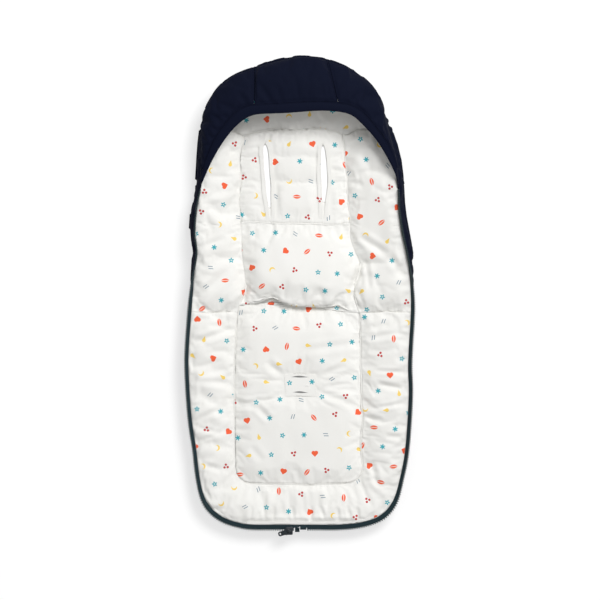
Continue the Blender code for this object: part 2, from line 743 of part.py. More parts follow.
def hood_walks():
    """Walked distances of the hood's corners and seams on the body and on the band."""
    left_end = left_walk(HOOD_END_SHARE * HALF_LENGTH)
    right_end = right_walk(HOOD_END_SHARE * HALF_LENGTH) - SEAM.length
    left_seam, left_band = hood_seam(HOOD_SEAM_LEFT_SHARES)
    right_seam, right_band = hood_seam(HOOD_SEAM_RIGHT_SHARES)
    inset = HOOD_CORNER_SHARE_OF_BAND * BAND_SEAM.length
    return ((left_end, left_seam, right_seam, right_end),
            (inset, left_band, right_band, BAND_SEAM.length - inset))


def hood_piece(name, walks, span, count, depths, puff, made_of, columns=8):
    """A hood layer over a span of panels, with its puff between two seams."""
    body, band = walks
    trim = [SEAM_GAP / 2 if puff else 0.0, -SEAM_GAP / 2 if puff else 0.0]
    upper, lower = [], []
    for k, place in enumerate(spread(span[0], span[1], count)):
        nudge = trim[0] if k == 0 else trim[1] if k == count - 1 else 0.0
        walk = float(np.interp(place, range(4), body)) - nudge
        band_walk = float(np.interp(place, range(4), band)) + nudge
        swell = puff * drawn_in(k / (count - 1), 2.5)
        upper.append(hood_section(walk, band_walk, columns, depths[0], swell))
        lower.append(hood_section(walk, band_walk, columns, depths[1], 0.0))
    return slab(name, upper, lower, made_of)


def hood():
    """The hood's three outer panels and its lining."""
    navy = material("navy_softshell", NAVY)
    walks = hood_walks()
    depths = (0.0, HOOD_THICKNESS)
    hood_piece("hood_left_panel", walks, (0, 1), 12, depths, HOOD_PUFF, navy)
    hood_piece("hood_centre_panel", walks, (1, 2), 9, depths, HOOD_PUFF, navy)
    hood_piece("hood_right_panel", walks, (2, 3), 12, depths, HOOD_PUFF, navy)
    inner = HOOD_THICKNESS + QUILT_GAP
    hood_piece("hood_lining", walks, (HOOD_LINING_START_SHARE, 3 - HOOD_LINING_START_SHARE), 17,
               (inner, inner + HOOD_LINING_THICKNESS), 0.0, material("liner_shade", LINER_SHADE))


def hood_seam(shares):
    """Walked distances of a hood seam on the body's seam line and on the band."""
    body_share, band_share = shares
    walk = SEAM.walk_where(0, body_share * HALF_WIDTH, HIGH_END)
    if body_share > 0:
        walk -= SEAM.length
    chosen = BAND_SEAM.points[:, 1] > BAND_FRONT_SHARE * HALF_LENGTH
    return walk, BAND_SEAM.walk_where(0, band_share * HALF_WIDTH, chosen)


def hood_band():
    """The sewn casing round the hood's mouth."""
    upper, lower = [], []
    for share in spread(0.0, 1.0, 37):
        outer = BAND_SEAM.point(BAND_SEAM.length * share)
        inner = BAND_EDGE.point(BAND_EDGE.length * share)
        width = float(np.linalg.norm(inner - outer))
        outer = outer + (inner - outer) * (BAND_GAP / width)
        level = mouth_height(share) - HOOD_THICKNESS / 2
        top, under = [], []
        for across in spread(0.0, 1.0, 5):
            place = outer + (inner - outer) * across
            swell = BAND_EDGE_THICKNESS / 2 + (BAND_THICKNESS - BAND_EDGE_THICKNESS) / 2 * (
                math.sqrt(max(0.0, 1 - (2 * across - 1) ** 2)))
            top.append((*place, level + swell))
            under.append((*place, level - swell))
        upper.append(top)
        lower.append(under)
    return slab("hood_edge_band", upper, lower, material("navy_softshell", NAVY))


def slot_outline(length, width, margin=0.0, count=14):
    """A pointed slot: two shallow arcs that meet at both ends."""
    points = []
    for side in (1, -1):
        for k in range(count):
            t = side * (1 - 2 * k / count)
            half = width / 2 * (1 - t * t) + margin
            points.append((side * half, t * (length / 2 + margin)))
    return points


def moved(outline, place, turn):
    """An outline turned about its middle and put at a plan place."""
    spin = Matrix.Rotation(turn, 2)
    return [tuple(spin @ Vector(point) + Vector(place)) for point in outline]


def facing_ring(name, outline, outer, level):
    """A flat sewn facing that follows the padding round an opening."""
    upper, lower = [], []
    for (x, y), (far_x, far_y) in zip(outline, outer):
        line = [(x, y), ((x + far_x) / 2, (y + far_y) / 2), (far_x, far_y)]
        lower.append([(px, py, level(px, py)) for px, py in line])
        upper.append([(px, py, level(px, py) + FACING_THICKNESS) for px, py in line])
    return slab(name, upper, lower, material("facing_white", LINER_WHITE), ring=True)


def surface_level(item):
    """Reads the height that clears a piece's top round a plan point."""
    mesh = item.data
    tree = BVHTree.FromPolygons([vert.co for vert in mesh.vertices],
                                [face.vertices for face in mesh.polygons])

    def read(x, y):
        levels = [SEAM_HEIGHT]
        for step_x, step_y in ((0, 0), (0, 1), (0, -1), (1, 0), (-1, 0)):
            start = Vector((x + step_x * FACING_WIDTH / 2, y + step_y * FACING_WIDTH, HALF_LENGTH))
            hit = tree.ray_cast(start, Vector((0, 0, -1)))[0]
            if hit:
                levels.append(hit.z)
        return max(levels) + FIT_GAP

    return read


def harness_slots(layers, back):
    """The two harness slots through every layer, each with its facing."""
    for side, shares in (("left", HARNESS_SLOT_LEFT_SHARES), ("right", HARNESS_SLOT_RIGHT_SHARES)):
        place = (shares[0] * HALF_WIDTH, shares[1] * HALF_LENGTH)
        turn = HARNESS_SLOT_LEAN if side == "left" else 0.0
        outline = moved(slot_outline(HARNESS_SLOT_LENGTH, HARNESS_SLOT_WIDTH), place, turn)
        inner = moved(slot_outline(HARNESS_SLOT_LENGTH, HARNESS_SLOT_WIDTH, SEAM_GAP), place, turn)
        outer = moved(slot_outline(HARNESS_SLOT_LENGTH, HARNESS_SLOT_WIDTH, FACING_WIDTH),
                      place, turn)
        facing_ring(f"harness_slot_facing_{side}", inner, outer, surface_level(back))
        cutter = prism(f"harness_slot_{side}_cutter", outline, -CUT_OVERRUN,
                       HOOD_HEIGHT, material("navy_softshell", NAVY))
        for layer in layers:
            combine(layer, cutter)


def crotch_slots(layers, seat):
    """The two crotch slits through the seat, with the facing sewn round both."""
    middle = Vector((CROTCH_SLOT_SHARES[0] * HALF_WIDTH, CROTCH_SLOT_SHARES[1] * HALF_LENGTH))
    depth = CROTCH_SLOT_SPACING + CROTCH_SLOT_WIDTH + 2 * CROTCH_FACING_MARGIN
    level = surface_level(seat)
    upper, lower = [], []
    for y in spread(-depth / 2, depth / 2, 6):
        line = [(middle.x + x, middle.y + y)
                for x in spread(-CROTCH_FACING_LENGTH / 2, CROTCH_FACING_LENGTH / 2, 8)]
        lower.append([(px, py, level(px, py)) for px, py in line])
        upper.append([(px, py, level(px, py) + FACING_THICKNESS) for px, py in line])
    facing = slab("crotch_slot_facing", upper, lower, material("facing_white", LINER_WHITE))
    for name, step in (("upper", 0.5), ("lower", -0.5)):
        place = (middle.x, middle.y + step * CROTCH_SLOT_SPACING)
        outline = moved(slot_outline(CROTCH_SLOT_LENGTH, CROTCH_SLOT_WIDTH), place, math.pi / 2)
        cutter = prism(f"crotch_slot_{name}_cutter", outline, -CUT_OVERRUN, HOOD_HEIGHT,
                       material("navy_softshell", NAVY))
        for layer in layers + [facing]:
            combine(layer, cutter)


def tape_turn(walk):
    """How far the tape is turned up from lying outward, in radians."""
    y = SEAM.point(walk)[1]
    full = TAPE_TURN_LEFT if walk < FOOT_WALK else TAPE_TURN_RIGHT
    rows = [(-0.955, 0.0), (-0.80, TAPE_TURN_SIDE), (HIP_SHARE, TAPE_TURN_SIDE), (0.16, full)]
    return eased_table(rows, y / HALF_LENGTH)


def zip_place(walk, reach, lift):
    """A point on the zip: the reach runs out along the tape and the lift stands off it."""
    turn = tape_turn(walk)
    out = FIT_GAP + (reach - FIT_GAP) * math.cos(turn) - lift * math.sin(turn)
    plan = SEAM.place(walk, out)
    level = rim_height(SEAM.point(walk)[1]) + TAPE_LEVEL
    return (*plan, level + (reach - FIT_GAP) * math.sin(turn) + lift * math.cos(turn))


def zip_strip(name, walks, near, far, thickness, made_of):
    """A strip of even width along the zip line."""
    half = thickness / 2
    upper = [[zip_place(walk, reach, half) for reach in (near, far)] for walk in walks]
    lower = [[zip_place(walk, reach, -half) for reach in (near, far)] for walk in walks]
    return slab(name, upper, lower, made_of)


def zip_block(name, start, end, near, far, thickness, made_of):
    """A small moulded block on the zip line, with its edges eased."""
    block = zip_strip(name, (start, end), near, far, thickness, made_of)
    ease_edges = block.modifiers.new("eased edges", "BEVEL")
    ease_edges.width = FIT_GAP
    ease_edges.segments = 1
    return block


def tooth_row(name, start, end):
    """One moulded half of the chain: a core strip with a row of teeth."""
    count = 3 * round((end - start) / TOOTH_PITCH / 3)
    pitch = (end - start) / count
    half = TOOTH_THICKNESS / 2
    work = bmesh.new()

    def column(walk, reach):
        return [work.verts.new(zip_place(walk, reach, lift)) for lift in (half, -half)]

    inner = [column(start + 3 * pitch * k, CHAIN_NEAR) for k in range(count // 3 + 1)]
    valley = [column(start + pitch * k, CHAIN_VALLEY) for k in range(count + 1)]
    tips = [[column(start + pitch * (k + share), CHAIN_TIP) for share in TOOTH_TIP_SHARES]
            for k in range(count)]
    for layer in (0, 1):
        for k in range(count // 3):
            roots = [valley[3 * k + step][layer] for step in range(4)]
            work.faces.new([inner[k][layer], *roots, inner[k + 1][layer]])
        for k in range(count):
            work.faces.new((valley[k][layer], tips[k][0][layer], tips[k][1][layer],
                            valley[k + 1][layer]))
    edge = [inner[0], valley[0]] + [place for k in range(count)
                                    for place in (*tips[k], valley[k + 1])] + [inner[-1]]
    for near, far in zip(edge, edge[1:]):
        work.faces.new((near[0], far[0], far[1], near[1]))
    for near, far in zip(inner, inner[1:]):
        work.faces.new((near[0], far[0], far[1], near[1]))
    return finish_object(name, mesh_from(name, work), material("tooth_teal", TOOTH_TEAL), False)


def zip_chain():
    """The tapes, the teeth, the box, the pin and the top stops of this half of the zip."""
    teal = material("zip_teal", ZIP_TEAL)
    plastic = material("tooth_teal", TOOTH_TEAL)
    top = ZIP_TOP_SHARE * HALF_LENGTH
    half = FIT_GAP / 2
    stop = STOP_LENGTH + CHAIN_GAP
    box = BOX_LENGTH + 2 * CHAIN_GAP
    pin = PIN_LENGTH + 2 * CHAIN_GAP
    runs = {
        "left_upper": (left_walk(top), left_walk(HIP_Y + half), 25, stop, 0.0),
        "left_lower": (left_walk(HIP_Y - half), FOOT_WALK - CHAIN_GAP, 49, 0.0, box),
        "right_lower": (FOOT_WALK + CHAIN_GAP, right_walk(HIP_Y - half), 49, pin, 0.0),
        "right_upper": (right_walk(HIP_Y + half), right_walk(top), 25, 0.0, stop),
    }
    for name, (start, end, count, lead, trail) in runs.items():
        zip_strip(f"zip_tape_{name}", spread(start, end, count), FIT_GAP,
                  FIT_GAP + TAPE_WIDTH, TAPE_THICKNESS, teal)
        tooth_row(f"zip_teeth_{name}", start + lead, end - trail)
    zip_block("zip_box", FOOT_WALK - CHAIN_GAP - BOX_LENGTH, FOOT_WALK - CHAIN_GAP,
              CHAIN_NEAR, CHAIN_NEAR + BOX_WIDTH, BOX_THICKNESS, plastic)
    zip_block("zip_pin", FOOT_WALK + CHAIN_GAP, FOOT_WALK + CHAIN_GAP + PIN_LENGTH,
              CHAIN_NEAR, CHAIN_NEAR + PIN_WIDTH, PIN_WIDTH, plastic)
    start = runs["left_upper"][0]
    zip_block("zip_top_stop_left", start, start + STOP_LENGTH, CHAIN_NEAR,
              CHAIN_TIP - TOOTH_REACH / 2, TOOTH_THICKNESS, plastic)
    end = runs["right_upper"][1]
    zip_block("zip_top_stop_right", end - STOP_LENGTH, end, CHAIN_NEAR,
              CHAIN_TIP - TOOTH_REACH / 2, TOOTH_THICKNESS, plastic)


def slider_place():
    """The middle of the parked slider, on the straight run across the foot."""
    x = -(CHAIN_GAP + BOX_LENGTH + SLIDER_PARK_GAP + SLIDER_LENGTH / 2)
    y = SEAM.point(FOOT_WALK)[1] - CHAIN_TIP - SLIDER_CLEARANCE - SLIDER_POST_WIDTH / 2
    return Vector((x, y, FOOT_RIM_HEIGHT + TAPE_LEVEL))


def bar_profile(name, profile, along, made_of):
    """A profile in Y and Z pulled along X, centred on the origin."""
    work = bmesh.new()
    face = work.faces.new([work.verts.new((-along / 2, y, z)) for y, z in profile])
    raised = bmesh.ops.extrude_face_region(work, geom=[face])
    moved_on = [item for item in raised["geom"] if isinstance(item, bmesh.types.BMVert)]
    bmesh.ops.translate(work, verts=moved_on, vec=(along, 0, 0))
    return finish_object(name, mesh_from(name, work), made_of, False)


def slider_body():
    """The slider: two plates with inturned lips, joined by the post, and the arch on top."""
    metal = material("slider_navy", SLIDER_NAVY)
    inside = TOOTH_THICKNESS / 2 + SLIDER_CLEARANCE
    outside = inside + SLIDER_PLATE_THICKNESS
    lip = TAPE_THICKNESS / 2 + SLIDER_CLEARANCE
    reach = CHAIN_TIP - CHAIN_NEAR + 2 * SLIDER_CLEARANCE + SLIDER_POST_WIDTH / 2
    half = reach + SLIDER_WALL
    channel = [(-half, lip), (-half, outside), (half, outside), (half, lip),
               (reach, lip), (reach, inside), (-reach, inside), (-reach, lip)]
    body = bar_profile("slider_body", channel, SLIDER_LENGTH, metal)
    under = [(y, -z) for y, z in channel]
    lower = bar_profile("slider_lower_plate_solid", under, SLIDER_LENGTH, metal)
    wedge = SLIDER_POST_WIDTH / 2
    nose = -SLIDER_LENGTH / 2
    diamond = [(nose, -wedge), (nose + 2 * wedge, -wedge), (nose + 5 * wedge, 0.0),
               (nose + 2 * wedge, wedge), (nose, wedge)]
    middle = (inside + outside) / 2
    post = prism("slider_post_solid", diamond, -middle, middle, metal)
    arch = arch_solid(outside, metal)
    plan = rounded_rectangle(SLIDER_LENGTH, 2 * half, half / 3, (0.0, 0.0))
    trim = prism("slider_plan_solid", plan, -2 * outside, 2 * (outside + ARCH_INSIDE_HEIGHT), metal)
    for helper in (lower, post, arch):
        combine(body, helper, "UNION")
    combine(body, trim, "INTERSECT")
    place = slider_place()
    for item in (body, lower, post, arch, trim):
        item.location = place
    return body


def arch_solid(floor, metal):
    """The arch that holds the pull, along the slider's length."""
    inner, outer = ARCH_INSIDE_LENGTH / 2, ARCH_INSIDE_LENGTH / 2 + ARCH_BAR
    high = floor + ARCH_INSIDE_HEIGHT
    sunk = floor - SLIDER_PLATE_THICKNESS / 2
    outline = [(-outer, sunk), (-inner, sunk), (-inner, high), (inner, high), (inner, sunk),
               (outer, sunk), (outer, high + ARCH_BAR / 2), (inner, high + ARCH_BAR),
               (-inner, high + ARCH_BAR), (-outer, high + ARCH_BAR / 2)]
    work = bmesh.new()
    face = work.faces.new([work.verts.new((x, -ARCH_BAR * 0.6, z)) for x, z in outline])
    raised = bmesh.ops.extrude_face_region(work, geom=[face])
    lifted = [item for item in raised["geom"] if isinstance(item, bmesh.types.BMVert)]
    bmesh.ops.translate(work, verts=lifted, vec=(0, ARCH_BAR * 1.2, 0))
    return finish_object("slider_arch_solid", mesh_from("slider_arch", work), metal, False)


def pull_pivot():
    """The middle of the pull's bar, which turns clear of the slider's plate."""
    plate_top = TOOTH_THICKNESS / 2 + SLIDER_CLEARANCE + SLIDER_PLATE_THICKNESS
    return slider_place() + Vector((0.0, 0.0, plate_top + PULL_THICKNESS / math.sqrt(2) + FIT_GAP))


def pull_tab():
    """The flat pull with its eye round the arch and a hole near the free end."""
    metal = material("slider_navy", SLIDER_NAVY)
    turn = math.pi + PULL_TURN
    bar = PULL_THICKNESS / 2
    half = PULL_WIDTH / 2
    side = [(PULL_LENGTH * along, half * across) for along, across in PULL_SIDE_SHARES]
    outline = [(-bar, -half + PULL_WALL), (-bar, half - PULL_WALL), (bar, half), *side,
               *((x, -y) for x, y in side[::-1]), (bar, -half)]
    origin = (0.0, 0.0)
    tab = prism("pull_tab", moved(outline, origin, turn), -bar, bar, metal)
    eye = rounded_rectangle(PULL_EYE_LENGTH, PULL_WIDTH - 2 * PULL_WALL, PULL_WALL / 2,
                            (bar + PULL_EYE_LENGTH / 2, 0.0), 2)
    eye_cutter = prism("pull_eye_cutter", moved(eye, origin, turn), -PULL_WIDTH, PULL_WIDTH, metal)
    hole = [(PULL_LENGTH * PULL_HOLE_SHARE + PULL_HOLE_RADIUS * math.cos(k * math.pi / 6),
             PULL_HOLE_RADIUS * math.sin(k * math.pi / 6)) for k in range(12)]
    hole_cutter = prism("pull_hole_cutter", moved(hole, origin, turn), -PULL_WIDTH, PULL_WIDTH,
                        metal)
    combine(tab, eye_cutter)
    combine(tab, hole_cutter)
    for item in (tab, eye_cutter, hole_cutter):
        item.location = pull_pivot()
    return tab


def foot_piping():
    """The white piping between the liner and the zip across the foot."""
    start = SEAM.walk_where(0, PIPING_ENDS_SHARES[0] * HALF_WIDTH, LOW_END)
    end = SEAM.walk_where(0, PIPING_ENDS_SHARES[1] * HALF_WIDTH, LOW_END)
    upper, lower = [], []
    for walk in spread(start, end, 25):
        centre_level = rim_height(SEAM.point(walk)[1]) + PIPING_RADIUS + SOFT_GAP
        rows = ([], [])
        for row, sign in zip(rows, (1, -1)):
            for angle in (math.radians(15), math.radians(65), math.radians(115), math.radians(165)):
                offset = -PIPING_RADIUS - SEAM_GAP + PIPING_RADIUS * math.cos(angle)
                level = centre_level + sign * PIPING_RADIUS * math.sin(angle)
                row.append((*SEAM.place(walk, offset), level))
        upper.append(rows[0])
        lower.append(rows[1])
    return slab("foot_piping", upper, lower, material("piping_white", LINER_WHITE))


def hang_on(axis_name, place, names):
    """Parent pieces to an empty that stands on their joint's axis."""
    axis = bpy.data.objects.new(axis_name, None)
    bpy.context.scene.collection.objects.link(axis)
    axis.location = place
    for name in names:
        item = bpy.data.objects[name]
        item.parent = axis
        item.location = item.location - Vector(place)


def joints():
    """Put every moving piece under an empty on its joint's axis."""
    backrest = [item.name for item in bpy.data.objects
                if item.type == "MESH" and not item.hide_render
                and (item.name.endswith("_upper") or item.name in BACKREST_NAMES)]
    hang_on("hip_fold_axis", (0.0, HIP_Y, HIP_RIM_HEIGHT + HIP_AXIS_RISE), backrest)
    hang_on("slider_axis", slider_place(), ["slider_body"])
    hang_on("pull_axis", pull_pivot(), ["pull_tab"])


def main():
    """Build the footmuff from the floor up."""
    clear_scene()
    shell_lower, shell_upper = back_shells()
    wadding_lower, wadding_upper = waddings()
    seat = seat_panel()
    seat_border()
    wing("wing_left", -1)
    wing("wing_right", 1)
    lumbar_pillow()
    back = back_panel()
    head_liner()
    gussets()
    hood()
    hood_band()
    harness_slots([shell_upper, wadding_upper, back], back)
    crotch_slots([shell_lower, wadding_lower, seat], seat)
    grip_patch(shell_lower)
    foot_piping()
    zip_chain()
    slider_body()
    pull_tab()
    joints()


main()
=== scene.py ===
"""Looks of a padded stroller footmuff that lies open on its back.

The frame gives every piece its place. Lengths are in metres, +Y runs to the head and +Z up.
"""
from __future__ import annotations

import json
import logging
import math
from contextlib import contextmanager
from dataclasses import dataclass, field
from enum import Enum
from typing import Callable, Iterable, Iterator, Sequence

import bmesh
import bpy
import numpy as np
from mathutils import Matrix, Vector, noise
from mathutils.bvhtree import BVHTree
from mathutils.kdtree import KDTree

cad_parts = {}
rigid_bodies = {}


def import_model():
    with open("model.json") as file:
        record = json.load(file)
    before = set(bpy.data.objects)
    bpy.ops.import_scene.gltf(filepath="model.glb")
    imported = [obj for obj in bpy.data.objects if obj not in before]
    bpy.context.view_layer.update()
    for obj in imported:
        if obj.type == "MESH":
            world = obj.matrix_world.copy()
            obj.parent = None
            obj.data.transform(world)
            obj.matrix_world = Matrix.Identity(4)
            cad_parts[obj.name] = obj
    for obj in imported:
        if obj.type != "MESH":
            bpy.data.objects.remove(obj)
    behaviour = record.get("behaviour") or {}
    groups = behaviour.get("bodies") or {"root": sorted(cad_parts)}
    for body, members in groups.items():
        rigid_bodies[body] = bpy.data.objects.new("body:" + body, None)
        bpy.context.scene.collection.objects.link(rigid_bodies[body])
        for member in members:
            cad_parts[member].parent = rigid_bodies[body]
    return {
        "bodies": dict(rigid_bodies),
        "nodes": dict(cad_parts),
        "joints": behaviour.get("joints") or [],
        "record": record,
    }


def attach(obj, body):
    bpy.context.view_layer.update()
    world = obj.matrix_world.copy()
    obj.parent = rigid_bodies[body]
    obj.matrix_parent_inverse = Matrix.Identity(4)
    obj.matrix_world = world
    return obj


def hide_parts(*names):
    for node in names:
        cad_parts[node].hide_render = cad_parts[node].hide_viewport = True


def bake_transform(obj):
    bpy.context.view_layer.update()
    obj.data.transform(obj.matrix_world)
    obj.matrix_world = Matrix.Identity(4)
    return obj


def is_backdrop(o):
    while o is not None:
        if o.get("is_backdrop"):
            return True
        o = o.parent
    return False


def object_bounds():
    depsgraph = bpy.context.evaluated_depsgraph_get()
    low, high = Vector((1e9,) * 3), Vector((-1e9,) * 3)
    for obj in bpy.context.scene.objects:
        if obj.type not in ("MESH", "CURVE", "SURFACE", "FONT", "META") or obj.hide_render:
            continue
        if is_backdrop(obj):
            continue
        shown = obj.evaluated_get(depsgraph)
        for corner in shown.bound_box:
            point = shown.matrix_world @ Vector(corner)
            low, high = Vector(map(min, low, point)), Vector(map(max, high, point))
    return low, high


LOG = logging.getLogger("footmuff")
Colour = tuple[float, float, float]
Point = tuple[float, float]

MERGE = 1e-5
QUAD_FACES = math.radians(50)
QUAD_SHAPE = math.radians(60)
SHARP_EDGE = math.radians(40)
HARD_EDGE = math.radians(38)
CLOTH_PLACE = "cloth_place"


class Body(Enum):
    """The bodies of the frame that pieces ride on."""

    SEAT = "seat"
    BACKREST = "backrest"
    SLIDER = "slider"
    PULL = "pull"


class Slot(Enum):
    """The material slots of the record."""

    NAVY = "navy_softshell"
    LINER = "printed_liner"
    FACING = "slot_facing"
    PIPING = "white_piping"
    WADDING = "wadding"
    TAPE = "zip_tape"
    TEETH = "zip_teeth"
    METAL = "slider_metal"
    RUBBER = "grip_rubber"


def math_node(operation: str, swapped: bool = False) -> Callable[..., "Expr"]:
    """A method of Expr that adds one Math node.

    Args:
        operation: The node's operation.
        swapped: Whether the other value is the node's first input.

    Returns:
        The method, which takes the other value where the operation has two.
    """
    def method(self: "Expr", *others: "Expr | float") -> "Expr":
        """Add the node."""
        values = (*others, self) if swapped else (self, *others)
        return self.tree.node("ShaderNodeMath", {"operation": operation},
                              dict(enumerate(values)))

    return method


class Expr:
    """A shader value that builds Math nodes through Python's operators."""

    def __init__(self, tree: "Shader", socket: bpy.types.NodeSocket) -> None:
        self.tree = tree
        self.socket = socket

    __add__ = math_node("ADD")
    __radd__ = math_node("ADD", swapped=True)
    __sub__ = math_node("SUBTRACT")
    __rsub__ = math_node("SUBTRACT", swapped=True)
    __mul__ = math_node("MULTIPLY")
    __rmul__ = math_node("MULTIPLY", swapped=True)
    __truediv__ = math_node("DIVIDE")
    __gt__ = math_node("GREATER_THAN")
    __lt__ = math_node("LESS_THAN")
    sin = math_node("SINE")
    cos = math_node("COSINE")
    floor = math_node("FLOOR")
    fraction = math_node("FRACT")
    magnitude = math_node("ABSOLUTE")
    least = math_node("MINIMUM")
    most = math_node("MAXIMUM")
    root = math_node("SQRT")
    angle_from = math_node("ARCTAN2")

    def hypot(self, other: "Expr") -> "Expr":
        """Length of the line whose two coordinates these are."""
        return (self * self + other * other).root()

    def inside(self, soft: float = 0.02) -> "Expr":
        """1 inside the outline whose distance this is, 0 outside.

        Args:
            soft: Width of the edge between the two.

        Returns:
            The mask.
        """
        return self.tree.node("ShaderNodeMapRange", {"interpolation_type": "SMOOTHSTEP"},
                              {"Value": self, "From Min": soft, "From Max": -soft})


class Shader:
    """One procedural material with a Principled shader."""

    def __init__(self, name: str) -> None:
        self.material = bpy.data.materials.new(name)
        self.material.use_nodes = True
        self.nodes = self.material.node_tree.nodes
        self.links = self.material.node_tree.links
        self.surface = self.nodes["Principled BSDF"]

    def node(self, kind: str, settings: dict[str, object], values: dict[int | str, object],
             output: int | str = 0) -> Expr:
        """Add a node and give one of its outputs.

        Args:
            kind: The node's type.
            settings: Properties that are set before the inputs.
            values: Numbers, colours or expressions by input.
            output: The output that is returned.

        Returns:
            The output as an expression.
        """
        made = self.nodes.new(kind)
        for name, value in settings.items():
            setattr(made, name, value)
        for place, value in values.items():
            self.put(made.inputs[place], value)
        return Expr(self, made.outputs[output])

    def put(self, socket: bpy.types.NodeSocket, value: object) -> None:
        """Set an input to a number or link it to an expression."""
        if isinstance(value, Expr):
            self.links.new(value.socket, socket)
        elif socket.type == "RGBA" and len(value) == 3:
            socket.default_value = (*value, 1.0)
        else:
            socket.default_value = value

    def cloth(self) -> Expr:
        """The place on the cloth, which stays with it when it bends."""
        return self.node("ShaderNodeAttribute", {"attribute_name": CLOTH_PLACE}, {}, "Vector")

    def place(self) -> Expr:
        """The place on the object."""
        return self.node("ShaderNodeTexCoord", {}, {}, "Object")

    def split(self, vector: Expr) -> tuple[Expr, Expr, Expr]:
        """The three coordinates of a vector."""
        made = self.nodes.new("ShaderNodeSeparateXYZ")
        self.put(made.inputs[0], vector)
        return tuple(Expr(self, made.outputs[k]) for k in range(3))

    def grain(self, place: Expr, size: float, detail: float = 2.0) -> Expr:
        """Noise whose features are about the given size."""
        return self.node("ShaderNodeTexNoise", {},
                         {"Vector": place, "Scale": 1.0 / size, "Detail": detail}, "Fac")

    def waves(self, place: Expr, pitch: float, direction: str, distortion: float = 0.4) -> Expr:
        """Parallel ridges of the given pitch."""
        return self.node("ShaderNodeTexWave", {"bands_direction": direction},
                         {"Vector": place, "Scale": math.pi / 10.0 / pitch,
                          "Distortion": distortion, "Detail": 1.0}, "Fac")

    def mix(self, share: Expr | float, first: object, second: object) -> Expr:
        """A colour between two colours."""
        made = self.nodes.new("ShaderNodeMix")
        made.data_type = "RGBA"
        for place, value in ((0, share), (6, first), (7, second)):
            self.put(made.inputs[place], value)
        return Expr(self, made.outputs[2])

    def dress(self, colour: object, roughness: object, **plain: object) -> None:
        """Set the shader's colour, roughness and plain values.

        Args:
            colour: Base colour, plain or varying.
            roughness: Roughness, plain or varying.
            plain: Other sockets by their names with underscores.
        """
        self.put(self.surface.inputs["Base Color"], colour)
        self.put(self.surface.inputs["Roughness"], roughness)
        for name, value in plain.items():
            self.put(self.surface.inputs[name.replace("_", " ")], value)

    def bump(self, height: Expr, distance: float, strength: float = 1.0) -> None:
        """Raise the surface by a height of 0 to 1 times the distance."""
        made = self.node("ShaderNodeBump", {},
                         {"Height": height, "Distance": distance, "Strength": strength})
        self.put(self.surface.inputs["Normal"], made)


